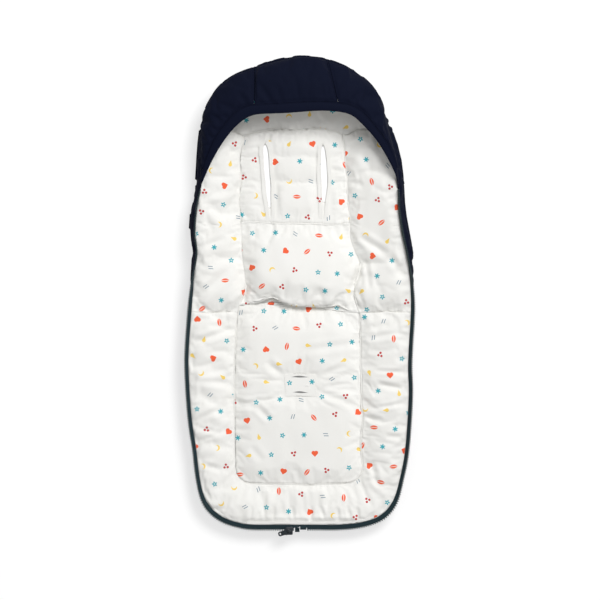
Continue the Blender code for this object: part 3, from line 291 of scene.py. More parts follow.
@dataclass(frozen=True)
class Print:
    """The liner's print: small plain motifs in staggered rows."""

    pitch_across: float = 0.046
    pitch_along: float = 0.0375
    motif_scale: float = 1.15
    coral: Colour = (0.90, 0.135, 0.055)
    yellow: Colour = (0.92, 0.66, 0.17)
    teal: Colour = (0.055, 0.40, 0.47)
    red: Colour = (0.52, 0.045, 0.045)
    slate: Colour = (0.23, 0.31, 0.37)
    wander: float = 0.16

    def draw(self, shader: Shader, across: Expr, along: Expr, cloth: object) -> Expr:
        """Paint the motifs over the cloth's colour.

        Args:
            shader: The material.
            across: First coordinate on the cloth.
            along: Second coordinate on the cloth.
            cloth: Colour of the bare cloth.

        Returns:
            The colour with the print.
        """
        v = along * (1.0 / self.pitch_along)
        row = v.floor()
        u = across * (1.0 / self.pitch_across) + (row * 0.5).fraction()
        column = u.floor()
        cell = shader.node("ShaderNodeCombineXYZ", {}, {0: column, 1: row})
        chance = shader.nodes.new("ShaderNodeTexWhiteNoise")
        shader.put(chance.inputs["Vector"], cell)
        first, second, third = shader.split(Expr(shader, chance.outputs["Color"]))
        pick = (column * 3.0 + row * 5.0 + (first * 2.0).floor()) * (1.0 / 8.0)
        pick = pick.fraction() * 8.0 + 0.5
        x = (u.fraction() - 0.5 + (second - 0.5) * self.wander) * self.pitch_across
        y = (v.fraction() - 0.5 + (third - 0.5) * self.wander) * self.pitch_along
        turn = first * (2.0 * math.pi)
        c, s = turn.cos(), turn.sin()
        p = (x * c + y * s) * (1000.0 / self.motif_scale)
        q = (y * c - x * s) * (1000.0 / self.motif_scale)
        colour: object = cloth
        motifs = ((self.heart, self.coral), (self.flower, self.teal), (self.leaf, self.coral),
                  (self.crescent, self.yellow), (self.sprig, self.teal), (self.dots, self.red),
                  (self.drop, self.yellow), (self.strokes, self.slate))
        for number, (outline, paint) in enumerate(motifs):
            chosen = (pick > float(number)) * (pick < float(number + 1))
            colour = shader.mix(outline(p, q).inside(0.25) * chosen, colour, paint)
        return colour

    @staticmethod
    def heart(p: Expr, q: Expr) -> Expr:
        """A heart about 12 mm wide; all outlines are distances in millimetres."""
        side = p.magnitude()
        lobes = (side - 2.5).hypot(q - 2.5) - 3.53
        body = ((side + q.magnitude()) * math.sqrt(0.5) - 3.53).most(q - 2.0)
        return lobes.least(body)

    @staticmethod
    def flower(p: Expr, q: Expr) -> Expr:
        """Five round petals round an open middle."""
        far = p.hypot(q)
        petals = (q.angle_from(p) * 5.0).cos() * 1.3 + 3.7
        return (far - petals).most(1.15 - far)

    @staticmethod
    def leaf(p: Expr, q: Expr) -> Expr:
        """A pointed leaf with its midrib left bare."""
        blade = (p.magnitude() + 6.2).hypot(q) - 9.8
        rib = 0.50 - p.magnitude()
        return blade.most(rib)

    @staticmethod
    def crescent(p: Expr, q: Expr) -> Expr:
        """A thin crescent."""
        return (p.hypot(q) - 5.2).most(4.7 - (p - 2.7).hypot(q))

    @staticmethod
    def sprig(p: Expr, q: Expr) -> Expr:
        """Six short rays from one point."""
        far = p.hypot(q)
        ray = (q.angle_from(p) * 3.0).sin().magnitude() * far * 0.36 - 0.95
        return ray.most(far - 5.0)

    @staticmethod
    def dots(p: Expr, q: Expr) -> Expr:
        """Three dots in a cluster."""
        pair = (p.magnitude() - 2.9).hypot(q + 1.7) - 2.1
        return pair.least(p.hypot(q - 3.1) - 2.1)

    @staticmethod
    def drop(p: Expr, q: Expr) -> Expr:
        """A drop with a round foot."""
        foot = p.hypot(q + 1.6) - 3.3
        tip = ((p.magnitude() * 0.93 + q * 0.36) - 2.45).most(-1.6 - q)
        return foot.least(tip)

    @staticmethod
    def strokes(p: Expr, q: Expr) -> Expr:
        """Two short slanting strokes."""
        slant = p - q * 0.35
        return ((slant.magnitude() - 2.1).magnitude() - 0.75).most(q.magnitude() - 4.0)


@dataclass(frozen=True)
class PrintedCotton:
    """Soft white jersey of the liner, with its print."""

    white: Colour = (0.885, 0.880, 0.855)
    shade: Colour = (0.850, 0.842, 0.805)
    weave: float = 0.0011
    roughness: float = 0.92
    pattern: Print = field(default_factory=Print)

    def make(self, name: str, printed: bool = True) -> bpy.types.Material:
        """Build the material.

        Args:
            name: The material's name.
            printed: Whether the cloth has the print.

        Returns:
            The material.
        """
        shader = Shader(name)
        place = shader.cloth()
        across, along, _ = shader.split(place)
        cloud = shader.grain(place, 0.045)
        colour: object = shader.mix(cloud, self.shade, self.white)
        if printed:
            colour = self.pattern.draw(shader, across, along, colour)
        knit = shader.waves(place, self.weave, "X") * shader.waves(place, self.weave * 1.3, "Y")
        fuzz = shader.grain(place, 0.0035, 3.0)
        shader.bump(knit * 0.5 + fuzz, 0.00022, 0.7)
        shader.dress(colour, self.roughness, Sheen_Weight=0.08, Sheen_Roughness=0.5,
                     Specular_IOR_Level=0.22)
        return shader.material


@dataclass(frozen=True)
class Softshell:
    """Matt navy softshell cloth of the outside and the hood."""

    navy: Colour = (0.0034, 0.0050, 0.0150)
    worn: Colour = (0.0054, 0.0076, 0.0205)
    roughness: float = 0.78
    rib: float = 0.00085

    def make(self, name: str) -> bpy.types.Material:
        """Build the material."""
        shader = Shader(name)
        place = shader.cloth()
        cloud = shader.grain(place, 0.030, 3.0)
        fleck = shader.grain(place, 0.0012, 2.0)
        colour = shader.mix(cloud * 0.6 + fleck * 0.5, self.navy, self.worn)
        ribs = shader.waves(place, self.rib, "DIAGONAL", 0.8)
        shader.bump(ribs * 0.5 + fleck, 0.00018, 0.6)
        shader.dress(colour, cloud * 0.12 + (self.roughness - 0.06), Sheen_Weight=0.018,
                     Sheen_Roughness=0.45, Specular_IOR_Level=0.05)
        return shader.material


@dataclass(frozen=True)
class PlainCloth:
    """A plain woven cloth in one colour, for facings, piping, tape, thread and wadding."""

    low: Colour
    high: Colour
    thread: float = 0.0007
    roughness: float = 0.85
    gloss: float = 0.25
    relief: float = 0.00015

    def make(self, name: str) -> bpy.types.Material:
        """Build the material."""
        shader = Shader(name)
        place = shader.cloth()
        warp = shader.waves(place, self.thread, "X", 0.2)
        weft = shader.waves(place, self.thread * 1.2, "Y", 0.2)
        cloud = shader.grain(place, 0.012)
        shader.bump(warp.most(weft), self.relief, 0.8)
        shader.dress(shader.mix(cloud * 0.6 + warp * weft * 0.4, self.low, self.high),
                     self.roughness, Specular_IOR_Level=self.gloss)
        return shader.material


@dataclass(frozen=True)
class HardFinish:
    """Moulded plastic, lacquered metal or rubber, with handling wear on its high spots."""

    base: Colour
    worn: Colour
    roughness: float
    metal: float = 0.0
    coat: float = 0.0
    grain: float = 0.0009
    shine: float = 0.5

    def make(self, name: str) -> bpy.types.Material:
        """Build the material."""
        shader = Shader(name)
        place = shader.place()
        speck = shader.grain(place, self.grain, 3.0)
        cloud = shader.grain(place, 0.006)
        edge = shader.node("ShaderNodeNewGeometry", {}, {}, "Pointiness")
        wear = shader.node("ShaderNodeMapRange", {},
                           {"Value": edge + speck * 0.04, "From Min": 0.53, "From Max": 0.60})
        shader.bump(speck, 0.00004, 0.5)
        shader.dress(shader.mix(wear, self.base, self.worn),
                     cloud * 0.16 + (self.roughness - 0.08), Metallic=self.metal,
                     Coat_Weight=self.coat, Specular_IOR_Level=self.shine)
        return shader.material


class Finishes:
    """Every material, made once."""

    def __init__(self) -> None:
        """Make the materials."""
        self.liner = PrintedCotton().make("printed_cotton")
        self.plain_liner = PrintedCotton().make("lining_cotton", printed=False)
        self.navy = Softshell().make("navy_softshell")
        self.facing = PlainCloth((0.80, 0.795, 0.77), (0.88, 0.875, 0.85)).make("facing_cotton")
        self.wadding = PlainCloth((0.72, 0.72, 0.70), (0.86, 0.86, 0.84), 0.004, 0.95, 0.1,
                                  0.0006).make("wadding_fleece")
        self.tape = PlainCloth((0.0090, 0.0230, 0.0300), (0.0170, 0.0420, 0.0520), 0.0006,
                               0.72, 0.25).make("zip_tape_weave")
        self.white_thread = PlainCloth((0.80, 0.79, 0.76), (0.90, 0.89, 0.86), 0.0004, 0.60,
                                       0.3).make("white_thread")
        self.navy_thread = PlainCloth((0.007, 0.009, 0.020), (0.014, 0.018, 0.036), 0.0004,
                                      0.55, 0.3).make("navy_thread")
        self.plastic = HardFinish((0.0055, 0.0160, 0.0205), (0.012, 0.028, 0.034), 0.46,
                                  shine=0.22).make("moulded_teal")
        self.metal = HardFinish((0.0070, 0.0140, 0.0200), (0.060, 0.068, 0.076), 0.34, 0.25,
                                0.2).make("lacquered_metal")
        self.rubber = HardFinish((0.030, 0.031, 0.034), (0.05, 0.05, 0.05), 0.82).make("rubber")


def deselect() -> None:
    """Leave object mode's selection empty."""
    for item in bpy.context.view_layer.objects:
        item.select_set(False)
    bpy.context.view_layer.objects.active = None


def pick(item: bpy.types.Object) -> None:
    """Make one object the only selected and active one."""
    deselect()
    item.select_set(True)
    bpy.context.view_layer.objects.active = item


@contextmanager
def editing(selected: str = "SELECT") -> Iterator[None]:
    """Edit mode on the active object, with everything selected first, or nothing by DESELECT."""
    bpy.ops.object.mode_set(mode="EDIT")
    bpy.ops.mesh.select_all(action=selected)
    yield
    bpy.ops.object.mode_set(mode="OBJECT")


def linked(name: str, data: bpy.types.ID) -> bpy.types.Object:
    """A new object in the scene."""
    item = bpy.data.objects.new(name, data)
    bpy.context.scene.collection.objects.link(item)
    return item


def apply_modifiers(item: bpy.types.Object) -> None:
    """Apply all of an object's modifiers in order."""
    pick(item)
    for modifier in list(item.modifiers):
        bpy.ops.object.modifier_apply(modifier=modifier.name)


def places(item: bpy.types.Object, kind: str = "co") -> np.ndarray:
    """The vertices' places, or another of their vectors, as rows of three."""
    made = np.empty(len(item.data.vertices) * 3)
    item.data.vertices.foreach_get(kind, made)
    return made.reshape(-1, 3)


def normals(item: bpy.types.Object) -> np.ndarray:
    """The vertices' normals as rows of three."""
    return places(item, "normal")


def put_places(item: bpy.types.Object, rows: np.ndarray) -> None:
    """Move the vertices to the given places."""
    item.data.vertices.foreach_set("co", rows.reshape(-1).astype(np.float32))
    item.data.update()


def copied(nodes: Sequence[bpy.types.Object], name: str,
           quads: bool = True) -> bpy.types.Object:
    """Copy nodes of the frame into one new object and merge their loose triangles.

    Args:
        nodes: The frame's nodes.
        name: The new piece's name.
        quads: Whether pairs of triangles become quads.

    Returns:
        The new object.
    """
    deselect()
    made = []
    for node in nodes:
        item = linked(name, node.data.copy())
        item.data.materials.clear()
        item.select_set(True)
        made.append(item)
    bpy.context.view_layer.objects.active = made[0]
    if len(made) > 1:
        bpy.ops.object.join()
    item = made[0]
    item.data.name = name
    if item.data.has_custom_normals:
        bpy.ops.mesh.customdata_custom_splitnormals_clear()
    with editing():
        bpy.ops.mesh.remove_doubles(threshold=MERGE)
        if quads:
            bpy.ops.mesh.tris_convert_to_quads(face_threshold=QUAD_FACES,
                                               shape_threshold=QUAD_SHAPE)
    for layer in list(item.data.uv_layers):
        item.data.uv_layers.remove(layer)
    item.data.shade_smooth()
    return item


def crease_edges(item: bpy.types.Object) -> None:
    """Crease the sharp edges, so that subdivision keeps them."""
    pick(item)
    with editing("DESELECT"):
        bpy.ops.mesh.select_mode(type="EDGE")
        bpy.ops.mesh.edges_select_sharp(sharpness=SHARP_EDGE)
        bpy.ops.transform.edge_crease(value=1.0)
        bpy.ops.mesh.select_mode(type="VERT")


def smooth_by_angle(item: bpy.types.Object, angle: float = SHARP_EDGE) -> None:
    """Smooth the faces, apart from edges that are sharper than the angle."""
    pick(item)
    bpy.ops.object.shade_smooth_by_angle(angle=angle)


def subdivide(item: bpy.types.Object, levels: int, kind: str = "CATMULL_CLARK") -> None:
    """Subdivide and apply it."""
    smooth = item.modifiers.new("smooth", "SUBSURF")
    smooth.subdivision_type = kind
    smooth.levels = smooth.render_levels = levels
    apply_modifiers(item)


def cut_rows(item: bpy.types.Object, rows: Iterable[float]) -> None:
    """Cut a piece across at the given places up the body, so that it can bend there."""
    pick(item)
    for row in rows:
        with editing():
            bpy.ops.mesh.bisect(plane_co=(0.0, row, 0.0), plane_no=(0.0, 1.0, 0.0))


def select_faces(item: bpy.types.Object, test: Callable[[bpy.types.MeshPolygon], bool]) -> None:
    """Go to edit mode with only the faces selected that pass the test."""
    pick(item)
    with editing("DESELECT"):
        bpy.ops.mesh.select_mode(type="FACE")
    for face in item.data.polygons:
        face.select = test(face)
    bpy.ops.object.mode_set(mode="EDIT")


def plain_copy(node: bpy.types.Object, name: str) -> bpy.types.Object:
    """Copy a hard piece with its flat sides whole."""
    item = copied([node], name, False)
    with editing():
        bpy.ops.mesh.dissolve_limited(angle_limit=math.radians(1))
    return item


def round_edges(item: bpy.types.Object, width: float, segments: int = 2) -> bpy.types.Object:
    """Bevel a hard piece's edges and smooth its faces."""
    bevel = item.modifiers.new("eased edges", "BEVEL")
    bevel.width, bevel.segments, bevel.limit_method = width, segments, "ANGLE"
    bevel.harden_normals = False
    apply_modifiers(item)
    smooth_by_angle(item, HARD_EDGE)
    return item


def repeat(model: bpy.types.Object, turns: Iterable[Matrix], name: str) -> bpy.types.Object:
    """Copy a small model to many places as one piece, and remove the model.

    Args:
        model: The small piece, about its own origin.
        turns: Where each copy goes.
        name: The new piece's name.

    Returns:
        The new object.
    """
    work = bmesh.new()
    for turn in turns:
        copy = model.data.copy()
        copy.transform(turn)
        work.from_mesh(copy)
        bpy.data.meshes.remove(copy)
    mesh = bpy.data.meshes.new(name)
    work.to_mesh(mesh)
    work.free()
    item = linked(name, mesh)
    bpy.data.objects.remove(model, do_unlink=True)
    mesh.shade_smooth()
    return item


def joined(items: Sequence[bpy.types.Object], name: str) -> bpy.types.Object:
    """Join objects into the first one and name it."""
    pick(items[0])
    for item in items[1:]:
        item.select_set(True)
    if len(items) > 1:
        bpy.ops.object.join()
    items[0].name = items[0].data.name = name
    return items[0]


def tube(name: str, points: Sequence[Vector], links: Sequence[tuple[int, int]], radius: float,
         sides: int = 1) -> bpy.types.Object:
    """Make round cords along linked points.

    Args:
        name: The piece's name.
        points: The places that the cords pass through.
        links: Pairs of points that a cord joins.
        radius: The cords' radius.
        sides: Fineness of the round section.

    Returns:
        The new mesh object.
    """
    mesh = bpy.data.meshes.new(name)
    mesh.from_pydata([tuple(point) for point in points], list(links), [])
    pick(linked(name, mesh))
    bpy.ops.object.convert(target="CURVE")
    item = bpy.context.view_layer.objects.active
    item.data.bevel_depth = radius
    item.data.bevel_resolution = sides
    item.data.use_fill_caps = True
    bpy.ops.object.convert(target="MESH")
    item = bpy.context.view_layer.objects.active
    item.data.shade_smooth()
    return item


def line_tube(name: str, points: Sequence[Vector], radius: float,
              sides: int = 1) -> bpy.types.Object:
    """Make one round cord through points in a row."""
    return tube(name, points, [(k, k + 1) for k in range(len(points) - 1)], radius, sides)


def stitch_row(name: str, line: Sequence[Vector], ups: Sequence[Vector], length: float = 0.0026,
               gap: float = 0.0012, radius: float = 0.0004) -> bpy.types.Object:
    """Sew a row of stitches along a line.

    Args:
        name: The piece's name.
        line: Points along the row.
        ups: The surface's direction outwards at each point.
        length: Length of one stitch.
        gap: Gap from one stitch to the next.
        radius: Half the thread's thickness.

    Returns:
        The stitches as one object.
    """
    deselect()
    bpy.ops.mesh.primitive_uv_sphere_add(segments=6, ring_count=4, radius=1.0)
    model = bpy.context.object
    with editing():
        bpy.ops.transform.resize(value=(length / 2, radius, radius))
    at = np.array([tuple(point) for point in line])
    high = np.array([tuple(up) for up in ups])
    walked = np.concatenate([[0.0], np.cumsum(np.linalg.norm(np.diff(at, axis=0), axis=1))])
    turns = []
    for walk in np.arange(length, walked[-1] - length / 2, length + gap):
        here, ahead, up = (Vector([float(np.interp(w, walked, rows[:, k])) for k in range(3)])
                           for w, rows in ((walk, at), (walk + length / 2, at), (walk, high)))
        x = (ahead - here).normalized()
        y = up.cross(x).normalized()
        turns.append(Matrix.Translation(here)
                     @ Matrix((x, y, x.cross(y))).transposed().to_4x4())
    return repeat(model, turns, name)


def lay_cloth(item: bpy.types.Object, turn: float = 0.0, shift: Point = (0.0, 0.0)) -> None:
    """Store each point's place on the cloth, turned and shifted as the cloth was cut.

    Args:
        item: The piece.
        turn: Turn of the cloth's grain, in radians.
        shift: Shift of the print.
    """
    rows = places(item)
    c, s = math.cos(turn), math.sin(turn)
    laid = np.stack([rows[:, 0] * c + rows[:, 1] * s + shift[0],
                     rows[:, 1] * c - rows[:, 0] * s + shift[1], rows[:, 2]], axis=1)
    attribute = item.data.attributes.new(CLOTH_PLACE, "FLOAT_VECTOR", "POINT")
    attribute.data.foreach_set("vector", laid.reshape(-1).astype(np.float32))


def dress(item: bpy.types.Object, material: bpy.types.Material) -> None:
    """Give a piece its material."""
    item.data.materials.clear()
    item.data.materials.append(material)


def smooth_step(values: np.ndarray) -> np.ndarray:
    """A smooth step from 0 to 1."""
    held = np.clip(values, 0.0, 1.0)
    return held * held * (3.0 - 2.0 * held)


@dataclass
class RimLine:
    """The seam round the body that carries the zip and the hood, walked from the head over
    the left side to the foot and back up the right side."""

    half_width: float = 0.236
    half_length: float = 0.4915
    foot_rim: float = 0.034
    hip_rim: float = 0.040
    shoulder_rim: float = 0.054
    head_rim: float = 0.042
    hip_share: float = -0.069
    side_turn: float = math.radians(45)
    left_turn: float = math.radians(82)
    right_turn: float = math.radians(74)
    fit_gap: float = 0.0003
    tape_thickness: float = 0.0008
    corner_shares: Sequence[Point] = (
        (0.00, 0.985), (-0.25, 0.965), (-0.50, 0.926), (-0.66, 0.879), (-0.762, 0.814),
        (-0.824, 0.743), (-0.843, 0.653), (-0.856, 0.545), (-0.868, 0.460), (-0.905, 0.366),
        (-0.919, 0.264), (-0.902, 0.187), (-0.932, 0.081), (-0.949, -0.031), (-0.962, -0.112),
        (-0.978, -0.224), (-0.980, -0.305), (-0.966, -0.437), (-0.945, -0.545),
        (-0.911, -0.651), (-0.888, -0.749), (-0.852, -0.833), (-0.782, -0.894),
        (-0.660, -0.938), (-0.500, -0.961), (-0.400, -0.966), (-0.280, -0.966),
        (-0.140, -0.966), (0.00, -0.966), (0.17, -0.966), (0.34, -0.966), (0.53, -0.957),
        (0.690, -0.932), (0.785, -0.892), (0.845, -0.838), (0.884, -0.765), (0.921, -0.678),
        (0.945, -0.560), (0.961, -0.407), (0.954, -0.301), (0.962, -0.203), (0.975, -0.102),
        (0.979, -0.020), (0.966, 0.092), (0.930, 0.193), (0.894, 0.272), (0.866, 0.366),
        (0.858, 0.460), (0.842, 0.560), (0.798, 0.648), (0.742, 0.736), (0.695, 0.810),
        (0.616, 0.866), (0.520, 0.912), (0.385, 0.953), (0.20, 0.982))

    def __post_init__(self) -> None:
        """Draw the smooth line through the corners."""
        self.points = self.curve(self.corner_shares, closed=True)
        steps = np.linalg.norm(np.diff(self.points, axis=0), axis=1)
        self.walked = np.concatenate([[0.0], np.cumsum(steps)])
        self.length = float(self.walked[-1])
        low = self.points[:, 1] < -0.9 * self.half_length
        self.foot = self.where(0, 0.0, low)
        self.sides = abs(self.points[:, 0]) > 0.55 * self.half_width

    def curve(self, shares: Sequence[Point], closed: bool, steps: int = 12) -> np.ndarray:
        """Points of a smooth curve through corners given as shares.

        Args:
            shares: Corners in shares of the half width and the half length.
            closed: Whether the curve meets itself.
            steps: Points from one corner to the next.

        Returns:
            The points, as rows of two.
        """
        corners = np.array(shares) * (self.half_width, self.half_length)
        count = len(corners)
        made = []
        for span in range(count if closed else count - 1):
            if closed:
                a, b, c, d = (corners[(span + k - 1) % count] for k in range(4))
            else:
                b, c = corners[span], corners[span + 1]
                a = corners[span - 1] if span else 2 * b - c
                d = corners[span + 2] if span + 2 < count else 2 * c - b
            for t in np.arange(steps) / steps:
                made.append(0.5 * (2 * b + (c - a) * t + (2 * a - 5 * b + 4 * c - d) * t ** 2
                                   + (3 * b - a - 3 * c + d) * t ** 3))
        made.append(corners[0] if closed else corners[-1])
        return np.array(made)

    def where(self, axis: int, value: float, chosen: np.ndarray) -> float:
        """The walked distance at which a coordinate has a value, among chosen points."""
        index = np.where(chosen)[0]
        order = index[np.argsort(self.points[index, axis])]
        return float(np.interp(value, self.points[order, axis], self.walked[order]))

    def left(self, y: float) -> float:
        """Walked distance on the left side at a height up the body."""
        return self.where(1, y, self.sides & (self.walked < self.foot))

    def right(self, y: float) -> float:
        """Walked distance on the right side at a height up the body."""
        return self.where(1, y, self.sides & (self.walked > self.foot))

    def point(self, walk: float) -> np.ndarray:
        """The plan point at a walked distance."""
        walk = walk % self.length
        return np.array([np.interp(walk, self.walked, self.points[:, k]) for k in range(2)])

    def outward(self, walk: float) -> np.ndarray:
        """The unit normal out of the body."""
        step = self.length / len(self.points)
        along = self.point(walk + step) - self.point(walk - step)
        return np.array([along[1], -along[0]]) / np.linalg.norm(along)

    def eased(self, rows: Sequence[Point], place: float) -> float:
        """Read a table of places and values with a smooth step from row to row."""
        if place <= rows[0][0]:
            return rows[0][1]
        for (start, low), (end, high) in zip(rows, rows[1:]):
            if place <= end:
                share = (place - start) / (end - start)
                return low + (high - low) * share * share * (3 - 2 * share)
        return rows[-1][1]

    def height(self, y: float) -> float:
        """Height of the rim."""
        rows = ((-0.95, self.foot_rim), (self.hip_share, self.hip_rim),
                (0.34, self.shoulder_rim), (0.50, self.shoulder_rim), (0.86, self.head_rim))
        return self.eased(rows, y / self.half_length)

    def tape_turn(self, walk: float) -> float:
        """How far the tape is turned up from lying outward."""
        full = self.left_turn if walk < self.foot else self.right_turn
        rows = ((-0.955, 0.0), (-0.80, self.side_turn), (self.hip_share, self.side_turn),
                (0.16, full))
        return self.eased(rows, self.point(walk)[1] / self.half_length)

    def on_tape(self, walk: float, reach: float, lift: float) -> Vector:
        """A point on the zip, out along the tape by the reach and off it by the lift."""
        turn = self.tape_turn(walk)
        run = reach - self.fit_gap
        out = self.fit_gap + run * math.cos(turn) - lift * math.sin(turn)
        plan = self.point(walk) + self.outward(walk) * out
        level = self.height(self.point(walk)[1]) + self.fit_gap + self.tape_thickness / 2
        return Vector((*plan, level + run * math.sin(turn) + lift * math.cos(turn)))

    def frame_at(self, walk: float, reach: float, lift: float) -> Matrix:
        """A placing matrix on the tape: X back along the zip, Y out along the tape, Z off it."""
        step = 0.0005
        here = self.on_tape(walk, reach, lift)
        x = self.on_tape(walk - step, reach, lift) - self.on_tape(walk + step, reach, lift)
        y = self.on_tape(walk, reach + step, lift) - self.on_tape(walk, reach - step, lift)
        x.normalize()
        z = x.cross(y).normalized()
        y = z.cross(x)
        return Matrix.Translation(here) @ Matrix((x, y, z)).transposed().to_4x4()


PIXEL = 0.00208


def seen(column: float, row: float) -> Point:
    """The plan point that stands at a pixel of the photo."""
    return ((column - 299.8) * PIXEL, (296.5 - row) * PIXEL)


@dataclass
class ClothLay:
    """How the liner's cloth lies: its seams wander, and the pillow's lip hangs unevenly."""

    rim: RimLine
    seat_print: tuple[float, Point] = (0.06, (0.331, 0.120))
    back_print: tuple[float, Point] = (-0.05, (0.014, 0.002))
    wander: float = 0.0044
    size: float = 0.050
    rim_hold: float = 0.010
    rim_fade: float = 0.030
    hip: float = -0.0339
    lip_fade: float = 0.060
    tuck: float = 0.0010
    tuck_drop: float = 0.0095
    tuck_reach: float = 0.045
    overhang: float = 0.0085
    lip_ends: Point = (-0.106, 0.108)
    lip_end_fade: float = 0.035
    pillow_top: float = 0.1525
    top_lap: float = 0.0012
    strip_middle: float = 0.0014
    strip: float = 0.0030
    crotch_slits: Sequence[Point] = ((-0.16995, 0.80), (-0.20015, 0.95))
    slit_room: float = 0.0026
    slit_half: float = 0.032
    slit_edge: float = 0.0012
    slit_reach: float = 0.006
    slit_end: float = 0.010
    slit_pull: float = 0.0045
    crotch_middle: float = 0.0012
    crotch_sink: float = 0.0005
    slot_reach: float = 0.034
    slot_fade: float = 0.020
    under_fade: float = 0.016
    pillow_low: float = 0.0235
    level_fade: float = 0.012
    tuck_level: float = 0.016
    tuck_least: float = 0.15
    piping_wave: float = 0.011
    wall_foot: float = 0.004
    wall_height: float = 0.046
    wall_swell: float = 0.0036
    wall_middle: float = 0.11
    wall_reach: float = 0.085
    slots: Sequence[tuple[Point, float]] = (((-0.0664, 0.2369), math.radians(4.2)),
                                            ((0.0494, 0.2369), 0.0))
    slot_half: float = 0.082
    slot_width: float = 0.00675
    slot_shape: tuple[Sequence[float], Sequence[float]] = (
        (-1.0, -0.80, -0.64, -0.46, -0.20, 0.08, 0.34, 0.60, 0.78, 0.86, 0.94, 1.0),
        (0.0, 0.0016, 0.0028, 0.0040, 0.0055, 0.0064, 0.0069, 0.0066, 0.0058, 0.0047, 0.0026,
         0.0))
    near_slots: Sequence[tuple[Point, Point]] = (
        ((-0.0664, 0.2369), (0.036, 0.104)), ((0.0494, 0.2369), (0.036, 0.104)),
        ((0.0012, -0.18505), (0.050, 0.038)))
    pulls: Sequence[tuple[Point, Point, Point]] = (
        ((240, 133), (7, 9), (2.0, 5.0)), ((348, 133), (7, 9), (-1.5, 5.0)),
        ((317, 127), (9, 8), (0.0, -3.0)), ((290, 128), (16, 8), (0.0, -1.5)),
        ((244, 290), (9, 12), (2.5, 0.0)), ((262, 222), (15, 8), (0.0, -1.6)),
        ((326, 224), (18, 8), (0.0, 2.4)))
    lip: Sequence[Point] = ((236, 306.5), (246, 303.5), (258, 305.0), (266, 303.0), (272, 301.5),
                            (279, 305.0), (286, 308.3), (302, 310.5), (325, 312.0),
                            (338, 310.0), (350, 313.0), (364, 312.5))

    def __post_init__(self) -> None:
        """Index the rim's points."""
        self.tree = KDTree(len(self.rim.points))
        for k, point in enumerate(self.rim.points):
            self.tree.insert((*point, 0.0), k)
        self.tree.balance()
        self.lip_line = np.array([seen(*point) for point in self.lip])

    def moved(self, rows: np.ndarray) -> np.ndarray:
        """The places to which points of the liner wander."""
        made = self.opened(rows)
        for place, reach, pull in self.pulls:
            away = (rows[:, :2] - seen(*place)) / np.array(reach) / PIXEL
            made[:, :2] += np.exp(-(away ** 2).sum(axis=1))[:, None] * np.array(
                (pull[0], -pull[1])) * PIXEL
        for row, new in zip(rows, made):
            near = self.tree.find((row[0], row[1], 0.0))[2]
            share = min(1.0, max(0.0, (near - self.rim_hold) / self.rim_fade))
            drift = noise.noise_vector(Vector((row[0], row[1], 0.3)) / self.size)
            new[:2] += np.array(drift)[:2] * self.wander * share
        return made

    def opened(self, rows: np.ndarray) -> np.ndarray:
        """The harness slots' edges, drawn to the outlines that the photo shows."""
        made = rows.copy()
        for middle, turn in self.slots:
            axis = np.array((math.cos(turn), math.sin(turn)))
            across = (rows[:, :2] - middle) @ axis
            along = (rows[:, :2] - middle) @ np.array((-axis[1], axis[0])) / self.slot_half
            wanted = np.interp(along, *self.slot_shape)
            had = self.slot_width * np.clip(1.0 - along ** 2, 0.0, 1.0)
            push = np.sign(across) * (wanted - had) * smooth_step(
                (self.slot_reach - np.abs(across)) / self.slot_fade)
            made[:, :2] += push[:, None] * axis
        return made

    def under(self, rows: np.ndarray) -> np.ndarray:
        """The hidden layers' points, which follow the liner round its slots."""
        share = np.zeros(len(rows))
        for middle, reach in self.near_slots:
            room = (np.array(reach) - np.abs(rows[:, :2] - middle)) / self.under_fade
            share = np.maximum(share, smooth_step(room).prod(axis=1))
        return rows + (self.moved(rows) - rows) * share[:, None]

    def lip_shift(self, rows: np.ndarray) -> np.ndarray:
        """How far the pillow's lip is drawn up at each point."""
        lip = np.interp(rows[:, 0], self.lip_line[:, 0], self.lip_line[:, 1])
        return lip - self.hip

    def loose(self, rows: np.ndarray) -> np.ndarray:
        """How freely the pillow's lip hangs, from 0 at its sewn ends to 1."""
        return (smooth_step((rows[:, 0] - self.lip_ends[0]) / self.lip_end_fade)
                * smooth_step((self.lip_ends[1] - rows[:, 0]) / self.lip_end_fade))

    def pillow(self, rows: np.ndarray) -> np.ndarray:
        """The pillow's points, with its lip drawn up where the photo shows it."""
        made = self.moved(rows)
        share = 1.0 - smooth_step((rows[:, 1] - self.hip) / self.lip_fade)
        high = smooth_step((rows[:, 2] - self.pillow_low) / self.level_fade)
        under = self.overhang * self.loose(rows) * (1.0 - high)
        made[:, 1] += (self.lip_shift(rows) + under) * share
        made[:, 1] += self.top_lap * smooth_step(
            (rows[:, 1] - self.pillow_top) / self.level_fade + 1.0)
        return made

    def seat(self, rows: np.ndarray) -> np.ndarray:
        """The seat's points, with its end tucked under the pillow's lip."""
        made = self.moved(rows)
        for slit, _ in self.crotch_slits:
            away = rows[:, 1] - slit
            aside = np.abs(rows[:, 0] - self.crotch_middle)
            made[:, 1] += (self.slit_room * np.tanh(away / self.slit_edge)
                           * np.exp(-(away / self.slit_reach) ** 2)
                           * smooth_step((self.slit_half - aside) / self.slit_end))
        share = smooth_step(1.0 - (self.hip - rows[:, 1]) / self.tuck_reach)
        loose = self.loose(rows)
        made[:, 1] += (self.lip_shift(rows) + self.overhang * loose + self.tuck) * share
        drop = self.tuck_least + (1.0 - self.tuck_least) * loose
        made[:, 2] -= self.tuck_drop * share * drop * (rows[:, 2] > self.tuck_level)
        return made

